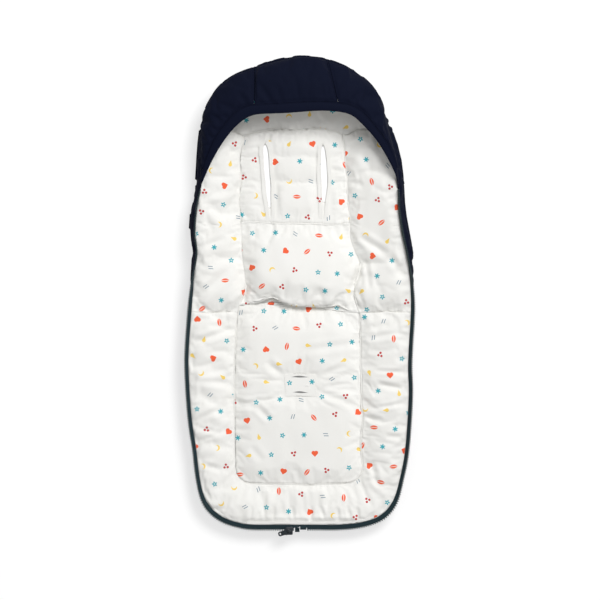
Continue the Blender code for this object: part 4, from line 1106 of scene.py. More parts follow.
    def piping(self, rows: np.ndarray) -> np.ndarray:
        """The foot piping's points, widened to a strip with an uneven inner edge."""
        made = rows.copy()
        for row in made:
            near, _, far = self.tree.find((row[0], row[1], 0.0))
            if far > self.strip_middle:
                inward = (Vector((row[0], row[1], 0.0)) - near).normalized()
                wave = noise.noise(Vector((row[0] / self.piping_wave, 0.2, 0.0)))
                row[:2] += np.array(inward)[:2] * self.strip * (1.0 + 0.8 * wave)
        return made

    def wall(self, rows: np.ndarray) -> np.ndarray:
        """The side walls' points, swollen out further where the photo shows it."""
        made = rows.copy()
        high = np.sin(math.pi * np.clip((rows[:, 2] - self.wall_foot) / self.wall_height,
                                        0.0, 1.0))
        near = np.exp(-((rows[:, 1] - self.wall_middle) / self.wall_reach) ** 2)
        made[:, 0] += self.wall_swell * high * near * (rows[:, 0] > 0.0)
        return made

    def slits(self, rows: np.ndarray) -> np.ndarray:
        """The crotch facing's points, with both slits drawn nearly shut."""
        made = rows.copy()
        for slit, shut in self.crotch_slits:
            away = rows[:, 1] - slit
            made[:, 1] -= shut * away * np.exp(-(away / self.slit_pull) ** 2)
        made[:, 2] -= self.crotch_sink
        return self.moved(made)


@dataclass(frozen=True)
class Swell:
    """A soft swelling of a padded piece about a plan point."""

    middle: Point
    reach: Point
    height: float


@dataclass(frozen=True)
class Fold:
    """A crease pressed into a padded piece between two plan points."""

    start: Point
    end: Point
    depth: float = 0.003
    width: float = 0.005


@dataclass(frozen=True)
class Held:
    """A stretch of cloth that is stitched down flat, between two plan points."""

    start: Point
    end: Point
    reach: float


@dataclass(frozen=True)
class Padding:
    """How a padded piece is filled, sewn and creased."""

    pressure: float = 4.0
    spare: float = 0.03
    cap: float = 0.008
    levels: int = 2
    voxel: float = 0.0
    pucker: float = 0.0009
    pucker_size: float = 0.012
    pucker_reach: float = 0.020
    folds: tuple[Fold, ...] = ()
    swells: tuple[Swell, ...] = ()
    held: tuple[Held, ...] = ()
    crumple: float = 0.0
    cord: float = 0.0012
    cord_depth: float = 1.15
    sink: float = 0.0
    fill: float = 0.6


class SoftPiece:
    """A padded piece made from its solid in the frame by filling it and sewing its seams."""

    steps = 20
    seam_step = 0.003
    seam_rest = 0.0035
    fade = 0.012
    sink_reach = 0.0045
    crumple_rate = (34.0, 16.0)
    ridge = 0.45
    ridge_place = 1.9
    ridge_width = 0.9

    def __init__(self, nodes: Sequence[bpy.types.Object], name: str, padding: Padding,
                 inside: Vector | None = None,
                 lay: Callable[[np.ndarray], np.ndarray] | None = None) -> None:
        """Keep what the piece is made from.

        Args:
            nodes: The frame's nodes that it stands for.
            name: Its name.
            padding: Its filling and seams.
            inside: A point that its outer side faces away from; None if that side is up.
            lay: Where the cloth's points wander to.
        """
        self.item = copied(nodes, name)
        if lay is not None:
            subdivide(self.item, 1, "SIMPLE")
            put_places(self.item, lay(places(self.item)))
        self.padding = padding
        self.levels = padding.levels - (lay is not None)
        self.inside = inside
        self.seam_links: list[tuple[tuple[float, ...], tuple[float, ...]]] = []
        self.seams = self.seam_points()
        self.away = np.zeros(0)

    def faces_out(self, at: np.ndarray, normal: np.ndarray) -> np.ndarray:
        """Which points lie on the outer side."""
        if self.inside is None:
            return normal[:, 2] > 0.3
        away = at - np.array(self.inside)
        away /= np.linalg.norm(away, axis=1)[:, None]
        return (normal * away).sum(axis=1) > 0.25

    def seam_points(self) -> np.ndarray:
        """Points along the sharp edges of the outer side."""
        work = bmesh.new()
        work.from_mesh(self.item.data)
        work.normal_update()
        made = []
        for edge in work.edges:
            if len(edge.link_faces) != 2 or edge.calc_face_angle() < math.radians(35):
                continue
            centres = np.array([face.calc_center_median() for face in edge.link_faces])
            facing = np.array([face.normal for face in edge.link_faces])
            if not self.faces_out(centres, facing).any():
                continue
            a, b = (vert.co.copy() for vert in edge.verts)
            self.seam_links.append((tuple(a), tuple(b)))
            count = max(2, round((b - a).length / self.seam_step))
            made += [tuple(a.lerp(b, k / count)) for k in range(count + 1)]
        work.free()
        return np.array(made)

    def seam_cord(self) -> bpy.types.Object:
        """The rolled cloth that fills the seams round the piece, just below its surface."""
        ends = sorted({end for link in self.seam_links for end in link})
        index = {end: k for k, end in enumerate(ends)}
        radius = self.padding.cord
        sunk = []
        for end in ends:
            point = Vector(end)
            down = Vector((0.0, 0.0, -1.0))
            if self.inside is not None:
                down = (self.inside - point).normalized()
            sunk.append(point + down * (radius * self.padding.cord_depth
                                        + self.padding.sink * 0.8))
        for point, rise in zip(sunk, self.swollen(np.array(sunk))):
            point.z += rise
        return tube(self.item.name + "_seam", sunk,
                    [(index[a], index[b]) for a, b in self.seam_links], radius)

    def held_share(self, at: np.ndarray) -> np.ndarray:
        """1 where the cloth is stitched down, falling to 0 away from there."""
        share = np.zeros(len(at))
        for held in self.padding.held:
            start, end = np.array(held.start), np.array(held.end)
            along = (end - start) / np.linalg.norm(end - start) ** 2
            part = np.clip((at[:, :2] - start) @ along, 0.0, 1.0)[:, None]
            far = np.linalg.norm(at[:, :2] - start - part * (end - start), axis=1)
            share = np.maximum(share, 1.0 - smooth_step(far / held.reach - 1.0))
        return share

    def from_seam(self, at: np.ndarray) -> tuple[np.ndarray, np.ndarray]:
        """The distance to the nearest seam and that seam's place, for each point."""
        tree = KDTree(len(self.seams))
        for k, seam in enumerate(self.seams):
            tree.insert(seam, k)
        tree.balance()
        found = [tree.find(point) for point in at]
        return (np.array([item[2] for item in found]),
                np.array([self.seams[item[1]] for item in found]))

    def build(self) -> bpy.types.Object:
        """Fill, sew and crease the piece.

        Returns:
            The finished object.
        """
        item, padding = self.item, self.padding
        if padding.voxel:
            remesh = item.modifiers.new("remesh", "REMESH")
            remesh.mode = "VOXEL"
            remesh.voxel_size = padding.voxel
            smooth = item.modifiers.new("smooth", "SMOOTH")
            smooth.iterations = 4
            apply_modifiers(item)
        else:
            crease_edges(item)
            subdivide(item, self.levels)
        self.inflate()
        pick(item)
        subdivide(item, 1)
        self.sew()
        self.fold()
        item.data.shade_smooth()
        LOG.info("%s: %d faces", item.name, len(item.data.polygons))
        return item

    def inflate(self) -> None:
        """Blow the piece up between its seams with cloth that has some to spare."""
        item, padding = self.item, self.padding
        rest = places(item)
        away, _ = self.from_seam(rest)
        free = (self.faces_out(rest, normals(item)) & (away > self.seam_rest)
                & (self.held_share(rest) < 0.99))
        group = item.vertex_groups.new(name="sewn")
        group.add([int(k) for k in np.where(~free)[0]], 1.0, "REPLACE")
        cloth = item.modifiers.new("cloth", "CLOTH")
        settings = cloth.settings
        settings.quality = 6
        settings.mass = 0.2
        settings.tension_stiffness = settings.compression_stiffness = 12.0
        settings.shear_stiffness = 6.0
        settings.bending_stiffness = 0.25
        settings.vertex_group_mass = group.name
        settings.shrink_min = -padding.spare
        settings.use_pressure = True
        settings.uniform_pressure_force = padding.pressure
        settings.effector_weights.gravity = 0.0
        cloth.collision_settings.use_collision = False
        cloth.point_cache.frame_start, cloth.point_cache.frame_end = 1, self.steps
        scene = bpy.context.scene
        for frame in range(1, self.steps + 1):
            scene.frame_set(frame)
        posed = item.evaluated_get(bpy.context.evaluated_depsgraph_get())
        blown = np.empty(len(rest) * 3)
        posed.data.vertices.foreach_get("co", blown)
        moved = blown.reshape(-1, 3) - rest
        far = np.linalg.norm(moved, axis=1)[:, None]
        moved *= np.minimum(1.0, padding.cap / np.maximum(far, 1e-9))
        moved *= (1.0 - self.held_share(rest))[:, None]
        item.modifiers.remove(cloth)
        item.vertex_groups.remove(group)
        scene.frame_set(1)
        put_places(item, rest + moved)

    def sew(self) -> None:
        """Pull short puckers into the cloth beside the seams."""
        item, padding = self.item, self.padding
        rest, normal = places(item), normals(item)
        away, seam = self.from_seam(rest)
        self.away = away
        free = self.faces_out(rest, normal)
        ripple = np.array([noise.noise(Vector(point) / padding.pucker_size)
                           + 0.6 * noise.noise(Vector(point) * 2.3 / padding.pucker_size)
                           for point in seam])
        share = away / padding.pucker_reach
        shape = smooth_step(share * 5.0) * np.exp(-share * 2.2)
        lift = padding.pucker * 2.2 * ripple * shape
        if padding.crumple:
            across, along = self.crumple_rate
            broad = np.array([noise.noise(Vector((point[0] * across, point[1] * along, 0.7)))
                              for point in rest])
            lift += padding.crumple * broad * smooth_step(away / self.fade)
        lift *= free * (1.0 - self.held_share(rest))
        lift -= padding.sink * np.exp(-(away / self.sink_reach) ** 2) * free
        put_places(item, rest + normal * lift[:, None])

    def swollen(self, at: np.ndarray) -> np.ndarray:
        """How far the swellings raise each point."""
        rise = np.zeros(len(at))
        for swell in self.padding.swells:
            far = ((at[:, :2] - np.array(swell.middle)) / np.array(swell.reach)) ** 2
            rise += swell.height * np.exp(-far.sum(axis=1))
        return rise

    def fold(self) -> None:
        """Raise the swellings, then press the creases in, with cloth standing up beside them."""
        rest = places(self.item)
        free = self.faces_out(rest, normals(self.item))
        up = np.array([(0.0, 0.0, 1.0)])
        if self.inside is not None:
            up = normals(self.item)
            free = free * smooth_step(self.away / self.fade)
        rest[:, 2] += self.swollen(rest) * free
        for fold in self.padding.folds:
            start, end = np.array(fold.start), np.array(fold.end)
            along = (end - start) / np.linalg.norm(end - start)
            share = ((rest[:, :2] - start) @ along) / np.linalg.norm(end - start)
            near = start + np.clip(share, 0.0, 1.0)[:, None] * (end - start)
            far = np.linalg.norm(rest[:, :2] - near, axis=1) / fold.width
            beside = np.exp(-((far - self.ridge_place) / self.ridge_width) ** 2)
            press = np.exp(-far ** 2) - self.ridge * beside
            ends = np.clip(1.0 - np.abs(share * 2.0 - 1.0) ** 3, 0.0, 1.0)
            rest -= up * (fold.depth * press * ends * free)[:, None]
        put_places(self.item, rest)


@dataclass
class Hip:
    """The fold at the hip, where cloth bends from the seat to the backrest."""

    start: float = -0.125
    end: float = -0.0345
    rows: int = 12

    def bend(self, item: bpy.types.Object) -> None:
        """Bake a finished piece's placing into its mesh, so that it stays where the frame put it.
        """
        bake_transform(item)

    def levels(self) -> list[float]:
        """Places up the body where a flat piece is cut across."""
        step = (self.end - self.start) / self.rows
        return [self.start + step * k for k in range(-1, self.rows + 2)]


@dataclass
class Maker:
    """What every sub-assembly works with."""

    nodes: dict[str, bpy.types.Object]
    finishes: Finishes
    rim: RimLine
    hip: Hip
    lay: ClothLay

    def node_list(self, names: Sequence[str]) -> list[bpy.types.Object]:
        """The frame's nodes by name."""
        return [self.nodes[name] for name in names]

    def place_piece(self, item: bpy.types.Object, names: Sequence[str],
                    body: Body | None) -> None:
        """Let a piece stand for nodes and follow its body, or bake its place into its mesh if it
        has none.
        """
        if body is None:
            self.hip.bend(item)
        else:
            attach(item, body.value)
        if names:
            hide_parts(*names)

    def finish(self, item: bpy.types.Object, material: bpy.types.Material, slot: Slot,
               body: Body | None, names: Sequence[str] = (), turn: float = 0.0,
               shift: Point = (0.0, 0.0)) -> bpy.types.Object:
        """Lay the cloth on a sewn piece, give it its material and put it in place."""
        lay_cloth(item, turn, shift)
        dress(item, material)
        self.place_piece(item, names, body)
        return item

    def soft(self, name: str, names: Sequence[str], padding: Padding, body: Body | None,
             material: bpy.types.Material, slot: Slot, inside: Vector | None = None,
             turn: float = 0.0, shift: Point = (0.0, 0.0),
             lay: Callable[[np.ndarray], np.ndarray] | None = None) -> bpy.types.Object:
        """Make one padded piece and put it in place.

        Args:
            name: The piece's name.
            names: The nodes that it is made from and stands for.
            padding: Its filling and seams.
            body: The body it rides on, or None to bake its place into its mesh instead.
            material: Its cloth.
            slot: The record's slot.
            inside: A point its outer side faces away from.
            turn: Turn of the cloth's grain.
            shift: Shift of the print.
            lay: Where the cloth's points wander to.

        Returns:
            The finished piece.
        """
        piece = SoftPiece(self.node_list(names), name, padding, inside, lay)
        item = self.finish(piece.build(), material, slot, body, names, turn, shift)
        plain = self.finishes.plain_liner if slot is Slot.LINER else material
        self.finish(piece.seam_cord(), plain, slot, body)
        return item

    def trim(self, name: str, names: Sequence[str], body: Body | None,
             material: bpy.types.Material, slot: Slot, levels: int = 1,
             lay: Callable[[np.ndarray], np.ndarray] | None = None,
             turn: float = 0.0, shift: Point = (0.0, 0.0)) -> bpy.types.Object:
        """Make one thin sewn piece from its nodes, smoothed, and put it in place."""
        item = copied(self.node_list(names), name)
        crease_edges(item)
        if levels:
            subdivide(item, levels)
        if lay is not None:
            put_places(item, lay(places(item)))
        item.data.shade_smooth()
        smooth_by_angle(item)
        return self.finish(item, material, slot, body, names, turn, shift)


@dataclass
class Liner:
    """The white printed liner: seat, border, wings, pillow, back and head end."""

    maker: Maker
    pillow_seam: Point = (297.0, 223.0)
    seam_reach: Point = (0.110, 0.013)
    seam_fill: float = 0.0040

    def build(self) -> None:
        """Make every padded piece of the liner."""
        make, cloth, back = self.maker, self.maker.finishes.liner, Body.BACKREST
        lay = make.lay
        head = Padding(pressure=4.0, spare=0.03, cap=0.006, pucker=0.0034, crumple=0.0026,
                       pucker_size=0.009, fill=0.4)
        for node, padding, body, turn, shift, laid in (
                ("seat_panel", self.seat_padding(), None, *lay.seat_print, lay.seat),
                ("seat_border", self.border_padding(), None, -0.10, (0.003, 0.013), lay.moved),
                ("wing_left", self.left_wing_padding(), back, 0.35, (0.017, 0.009), lay.moved),
                ("wing_right", self.right_wing_padding(), back, -0.28, (0.017, 0.009),
                 lay.moved),
                ("lumbar_pillow", self.pillow_padding(), back, *lay.back_print, lay.pillow),
                ("back_panel", self.back_padding(), back, *lay.back_print, lay.moved),
                ("head_liner", head, back, 0.12, (0.0, 0.017), lay.moved)):
            make.soft(node + "_pad", [node], padding, body, cloth, Slot.LINER, turn=turn,
                      shift=shift, lay=laid)
        make.trim("foot_piping_cord", ["foot_piping"], Body.SEAT, make.finishes.facing,
                  Slot.PIPING, 1, lay.piping)

    def folds(self, *rows: tuple[float, float, float, float, float, float]) -> tuple[Fold, ...]:
        """Creases from their ends in the photo, their depth and their width in millimetres."""
        return tuple(Fold(seen(a, b), seen(c, d), depth / 1000.0, width / 1000.0)
                     for a, b, c, d, depth, width in rows)

    def seat_padding(self) -> Padding:
        """The seat, drawn in round the crotch facing."""
        return Padding(
            voxel=0.0034, spare=0.02, cap=0.006, pucker=0.0009, crumple=0.0012, fill=0.5,
            held=(Held((-0.026, -0.170), (0.028, -0.170), 0.008),
                  Held((-0.026, -0.200), (0.028, -0.200), 0.008)),
            folds=self.folds((236, 404, 256, 406, 2.5, 6), (256, 406, 271, 421, 2.5, 6),
                             (318, 377, 346, 365, 2.5, 6), (319, 393, 352, 404, 2.5, 6),
                             (281, 375, 266, 361, 2.5, 7), (280, 396, 262, 405, 1.8, 6),
                             (302, 351, 357, 343, 1.6, 7), (250, 446, 263, 462, 1.6, 7),
                             (296, 468, 301, 482, 2.0, 6)))

    def border_padding(self) -> Padding:
        """The border, pulled into short folds by the zip."""
        return Padding(
            pressure=5.0, spare=0.035, cap=0.008, pucker=0.0016, crumple=0.0014, fill=0.6,
            held=(Held(seen(250, 522.8), seen(366, 522.8), 0.0034),),
            swells=(Swell(seen(308, 517.5), (0.110, 0.0052), 0.0026),),
            folds=self.folds((193, 343, 236, 328, 3.5, 6), (195, 421, 234, 403, 3.5, 6),
                             (195, 427, 222, 434, 2.5, 4), (197, 441, 220, 434, 2.0, 4),
                             (200, 463, 222, 471, 2.5, 5), (192, 381, 232, 384, 2.0, 6),
                             (405, 331, 366, 339, 3.0, 6), (404, 372, 375, 371, 2.0, 4),
                             (403, 389, 376, 384, 2.5, 5), (405, 403, 372, 409, 2.2, 4),
                             (364, 417, 384, 421, 3.0, 5), (402, 438, 385, 436, 2.5, 5),
                             (371, 462, 378, 488, 3.0, 6), (302, 492, 304, 515, 3.0, 6),
                             (346, 489, 349, 510, 2.0, 5), (262, 492, 262, 510, 2.0, 6),
                             (330, 488, 326, 514, 2.0, 5), (281, 500, 284, 519, 1.8, 5),
                             *((x, 506, x + lean, 521, 2.4, 3.5) for x, lean in
                               ((252, -2), (264, 1), (274, -1), (292, 2), (312, -2), (321, 3),
                                (338, -1), (347, 4), (357, 1)))))

    def left_wing_padding(self) -> Padding:
        """The left wing, with a fold that runs down to the hip."""
        return Padding(
            pressure=4.5, spare=0.04, cap=0.009, pucker=0.0014, crumple=0.0022, fill=0.5,
            folds=self.folds((194, 302, 234, 265, 4.0, 9), (200, 201, 234, 182, 3.0, 7),
                             (212, 196, 246, 187, 2.2, 6), (194, 250, 226, 238, 2.0, 6),
                             (246, 284, 241, 306, 5.0, 5), (218, 160, 238, 148, 2.5, 7)),
            swells=(Swell(seen(236, 296), (0.016, 0.024), 0.0055),))

    def right_wing_padding(self) -> Padding:
        """The right wing, with a bolster beside the pillow and a long slanting fold."""
        return Padding(
            pressure=4.5, spare=0.04, cap=0.009, pucker=0.0014, crumple=0.0022, fill=0.5,
            folds=self.folds((358, 236, 388, 255, 4.0, 7), (388, 255, 405, 277, 3.0, 7),
                             (365, 258, 370, 290, 3.0, 5), (350, 182, 364, 186, 2.2, 5),
                             (360, 150, 372, 171, 2.5, 9), (398, 196, 384, 204, 2.2, 6),
                             (362, 262, 350, 292, 5.0, 5), (350, 292, 360, 311, 4.0, 4)),
            swells=(Swell(seen(364, 297), (0.022, 0.024), 0.0075),
                    Swell(seen(386, 286), (0.045, 0.040), 0.0035)))

    def pillow_padding(self) -> Padding:
        """The thick pillow, with creases at its sides and a notch in its lip."""
        return Padding(
            pressure=6.0, spare=0.05, cap=0.010, pucker=0.0012, crumple=0.0016, fill=0.8,
            cord_depth=0.8,
            swells=(Swell(seen(*self.pillow_seam), self.seam_reach, self.seam_fill),
                    Swell(seen(300, 303), (0.085, 0.011), 0.0040)),
            folds=self.folds((247, 284, 243, 304, 5.0, 5), (361, 264, 351, 292, 4.0, 5),
                             (257, 308, 274, 296, 2.5, 5), (284, 306, 270, 296, 2.5, 5),
                             (330, 311, 338, 300, 2.5, 5), (349, 309, 338, 302, 2.0, 5),
                             (256, 247, 246, 243, 2.0, 6), (306, 287, 330, 296, 1.8, 8)))

    def back_padding(self) -> Padding:
        """The back panel, stitched flat round the harness slots."""
        return Padding(
            voxel=0.0030, spare=0.02, cap=0.005, pucker=0.0012, crumple=0.0016, fill=0.5,
            cord_depth=0.8,
            swells=(Swell(seen(*self.pillow_seam), self.seam_reach, self.seam_fill),),
            held=(Held((-0.0608, 0.1602), (-0.0720, 0.3136), 0.013),
                  Held((0.0494, 0.160), (0.0494, 0.3138), 0.013)),
            folds=self.folds((243, 134, 262, 128, 2.5, 5), (262, 128, 300, 131, 2.0, 5),
                             (305, 131, 322, 137, 2.5, 5), (328, 128, 336, 140, 2.5, 5),
                             (270, 133, 268, 142, 2.0, 4), (240, 150, 262, 147, 1.6, 5),
                             (331, 170, 348, 172, 1.8, 5), (255, 186, 241, 188, 1.8, 5)))


@dataclass
class Hood:
    """The navy hood: three padded panels, their lining and the casing at the mouth."""

    maker: Maker
    middle: Vector = field(default_factory=lambda: Vector((0.0, 0.36, 0.03)))
    layer: float = 0.0016
    seam_radius: float = 0.0025
    seam_drop: float = 0.0012
    mouth_gap: float = 0.0016
    foot_reach: float = 0.0014
    corner_back: float = 0.2740
    corner_front: float = 0.2232
    corner_slant: float = 0.0040
    corner_reach: float = 0.0008
    corner_rise: tuple[Sequence[float], Sequence[float]] = (
        (0.2232, 0.2337, 0.2450, 0.2620, 0.2740), (0.0588, 0.0604, 0.0606, 0.0676, 0.0690))

    def build(self) -> None:
        """Make the hood's pieces."""
        make, navy = self.maker, self.maker.finishes.navy
        for side in ("left", "centre", "right"):
            name = f"hood_{side}_panel"
            make.soft(name + "_pad", [name],
                      Padding(pressure=8.0, spare=0.05, cap=0.0078, pucker=0.0006,
                              pucker_size=0.030, sink=0.0026, fill=0.4, cord=0.0018,
                              cord_depth=0.6),
                      Body.BACKREST, navy, Slot.NAVY, inside=self.middle)
        lining = make.trim("hood_lining_cloth", ["hood_lining"], Body.BACKREST,
                           make.finishes.liner, Slot.LINER, 2)
        self.interlining()
        casing = make.trim("hood_edge_casing", ["hood_edge_band"], Body.BACKREST, navy,
                           Slot.NAVY, 2)
        self.sewn_edge("hood_mouth_seam", self.mouth_line(casing))
        self.sewn_edge("hood_foot_seam", self.foot_line())
        for side, sign in (("left", -1.0), ("right", 1.0)):
            self.corner(side, sign)

    def interlining(self) -> None:
        """The navy layer between the lining and the panels, seen only through their seams."""
        item = copied(self.maker.node_list(["hood_lining"]), "hood_interlining")
        rows = places(item)
        away = rows - np.array(self.middle)
        put_places(item, rows + away / np.linalg.norm(away, axis=1)[:, None] * self.layer)
        crease_edges(item)
        subdivide(item, 1)
        item.data.shade_smooth()
        self.maker.finish(item, self.maker.finishes.navy, Slot.NAVY, Body.BACKREST)

    def sewn_edge(self, name: str, line: Sequence[Vector]) -> None:
        """A rolled seam that closes the gap between two pieces."""
        self.maker.finish(line_tube(name, line, self.seam_radius, 2),
                          self.maker.finishes.navy, Slot.NAVY, Body.BACKREST)

    def foot_line(self) -> list[Vector]:
        """Points along the rim, where the hood is sewn to the side walls."""
        rim = self.maker.rim
        made = []
        for walk in np.arange(rim.right(self.corner_back) - rim.length,
                              rim.left(self.corner_back), 0.006):
            plan = rim.point(walk) + rim.outward(walk) * self.foot_reach
            made.append(Vector((*plan, rim.height(plan[1]))))
        return made

    def mouth_line(self, casing: bpy.types.Object) -> list[Vector]:
        """Points along the casing's outer edge, in order round the mouth."""
        names = [f"hood_{side}_panel" for side in ("left", "centre", "right")]
        panels = copied(self.maker.node_list(names), "panels")
        tree = BVHTree.FromObject(panels, bpy.context.evaluated_depsgraph_get())
        near = [vert.co.copy() for vert in casing.data.vertices
                if tree.find_nearest(vert.co)[3] < self.mouth_gap]
        bpy.data.objects.remove(panels)
        near.sort(key=lambda point: math.atan2(point.x, point.y - 0.20))
        made = []
        for start in range(0, len(near) - 5, 6):
            group = near[start:start + 6]
            made.append(sum(group, Vector()) / 6 + Vector((0.0, 0.0, -self.seam_drop)))
        return made

    def corner(self, side: str, sign: float) -> None:
        """The cloth between the rim and the casing, in front of the hood's side panel."""
        rim = self.maker.rim
        walk_at = rim.left if sign < 0 else rim.right
        deselect()
        bpy.ops.mesh.primitive_grid_add(x_subdivisions=10, y_subdivisions=4, size=1.0)
        item = bpy.context.object
        item.name = item.data.name = f"hood_corner_{side}"
        rows = []
        for s, t, _ in places(item) + 0.5:
            y = self.corner_back + (self.corner_front + self.corner_slant * t
                                    - self.corner_back) * s
            walk = walk_at(y)
            plan = rim.point(walk) + rim.outward(walk) * (self.corner_reach
                                                          + 0.0012 * math.sin(math.pi * t))
            low = rim.height(y) - 0.0012
            high = float(np.interp(y, self.corner_rise[0], self.corner_rise[1]))
            rows.append((*plan, low + (high - low) * t))
        put_places(item, np.array(rows))
        solid = item.modifiers.new("solid", "SOLIDIFY")
        solid.thickness, solid.offset = 0.0024, 0.0
        apply_modifiers(item)
        subdivide(item, 1)
        item.data.shade_smooth()
        self.maker.finish(item, self.maker.finishes.navy, Slot.NAVY, Body.BACKREST)


@dataclass
class Shell:
    """The outer floor, the side walls, the wadding and the non-slip patch."""

    maker: Maker
    middle: Vector = field(default_factory=lambda: Vector((0.0, 0.0, 0.03)))
    creases: dict[str, Sequence[Point]] = field(default_factory=lambda: {
        "left": ((197, 131), (194, 156), (189, 182)),
        "right": ((397, 124), (403, 168), (408, 262))})

    def build(self) -> None:
        """Make the shell's pieces."""
        make, finishes = self.maker, self.maker.finishes
        self.flat("back_shell_cloth", ["back_shell_lower", "back_shell_upper"], finishes.navy,
                  Slot.NAVY)
        wadding = self.flat("wadding_fill", ["wadding_lower", "wadding_upper"],
                            finishes.wadding, Slot.WADDING)
        for side in ("left", "right"):
            names = [f"side_gusset_{side}_lower", f"side_gusset_{side}_upper"]
            make.soft(f"side_gusset_{side}_wall", names,
                      Padding(pressure=2.5, spare=0.04, cap=0.005, pucker=0.0022,
                              pucker_size=0.022, pucker_reach=0.03, fill=0.2,
                              cord_depth=0.6,
                              folds=tuple(Fold(seen(x - 22, y), seen(x + 22, y), 0.0035, 0.0045)
                                          for x, y in self.creases[side])),
                      None, finishes.navy, Slot.NAVY, inside=self.middle,
                      lay=make.lay.wall)
        patch = make.nodes["grip_patch"]
        patch.data.materials.clear()
        patch.data.materials.append(finishes.rubber)

    def flat(self, name: str, names: Sequence[str], material: bpy.types.Material,
             slot: Slot) -> bpy.types.Object:
        """Make a flat layer, cut across into rows at the hip."""
        make = self.maker
        item = copied(make.node_list(names), name)
        put_places(item, make.lay.under(places(item)))
        cut_rows(item, make.hip.levels())
        smooth_by_angle(item, math.radians(35))
        return make.finish(item, material, slot, None, names)


@dataclass
class Slots:
    """The harness slots and the crotch slits, with the facings sewn round them."""

    maker: Maker
    length: float = 0.164
    facing: float = 0.0075
    width: float = 0.0135
    seam_inset: float = 0.0020
    crotch: Point = (0.0012, -0.18505)
    crotch_size: Point = (0.066, 0.0452)

    def build(self) -> None:
        """Make the facings and their stitches."""
        make = self.maker
        for side, (place, turn) in zip(("left", "right"), make.lay.slots):
            facing = make.trim(f"harness_facing_{side}", [f"harness_slot_facing_{side}"],
                               Body.BACKREST, make.finishes.liner, Slot.FACING, 2,
                               make.lay.moved, turn=-0.09, shift=(0.021, 0.002))
            for row, margin in (("inner", self.seam_inset),
                                ("outer", self.facing - self.seam_inset)):
                self.stitches(f"harness_stitches_{side}_{row}", facing,
                              self.outline(margin, place, turn), Body.BACKREST)
        facing = make.trim("crotch_facing", ["crotch_slot_facing"], Body.SEAT,
                           make.finishes.liner, Slot.FACING, 2, make.lay.slits,
                           *make.lay.seat_print)
        self.stitches("crotch_stitches", facing, self.box(), Body.SEAT)

    def outline(self, margin: float, place: Point, turn: float) -> list[Point]:
        """Plan points round a pointed slot, the margin out from its edge."""
        made = []
        for angle in np.linspace(0.0, 2.0 * math.pi, 97):
            t = math.cos(angle)
            side = 1.0 if math.sin(angle) >= 0.0 else -1.0
            x = side * (self.width / 2 * (1 - t * t) + margin * min(1.0, 4 * (1 - abs(t)) ** 0.5))
            y = t * (self.length / 2 + margin)
            made.append((place[0] + x * math.cos(turn) - y * math.sin(turn),
                         place[1] + x * math.sin(turn) + y * math.cos(turn)))
        return made

    def box(self) -> list[Point]:
        """Plan points round the crotch facing, just inside its edge."""
        half = np.array(self.crotch_size) / 2 - self.seam_inset
        corners = [self.crotch + half * sign for sign in
                   np.array([(-1, -1), (1, -1), (1, 1), (-1, 1), (-1, -1)])]
        return [tuple(a + (b - a) * k / 12) for a, b in zip(corners, corners[1:])
                for k in range(12)] + [tuple(corners[-1])]

    def stitches(self, name: str, cloth: bpy.types.Object, plan: Sequence[Point],
                 body: Body) -> None:
        """Sew stitches along plan points onto a piece."""
        tree = BVHTree.FromObject(cloth, bpy.context.evaluated_depsgraph_get())
        line, ups = [], []
        for x, y, _ in self.maker.lay.moved(np.array([(*point, 0.0) for point in plan])):
            hit, normal, _, _ = tree.ray_cast(Vector((x, y, 0.3)), Vector((0.0, 0.0, -1.0)))
            if hit is not None:
                line.append(hit)
                ups.append(normal)
        self.maker.finish(stitch_row(name, line, ups), self.maker.finishes.white_thread,
                          Slot.FACING, body)


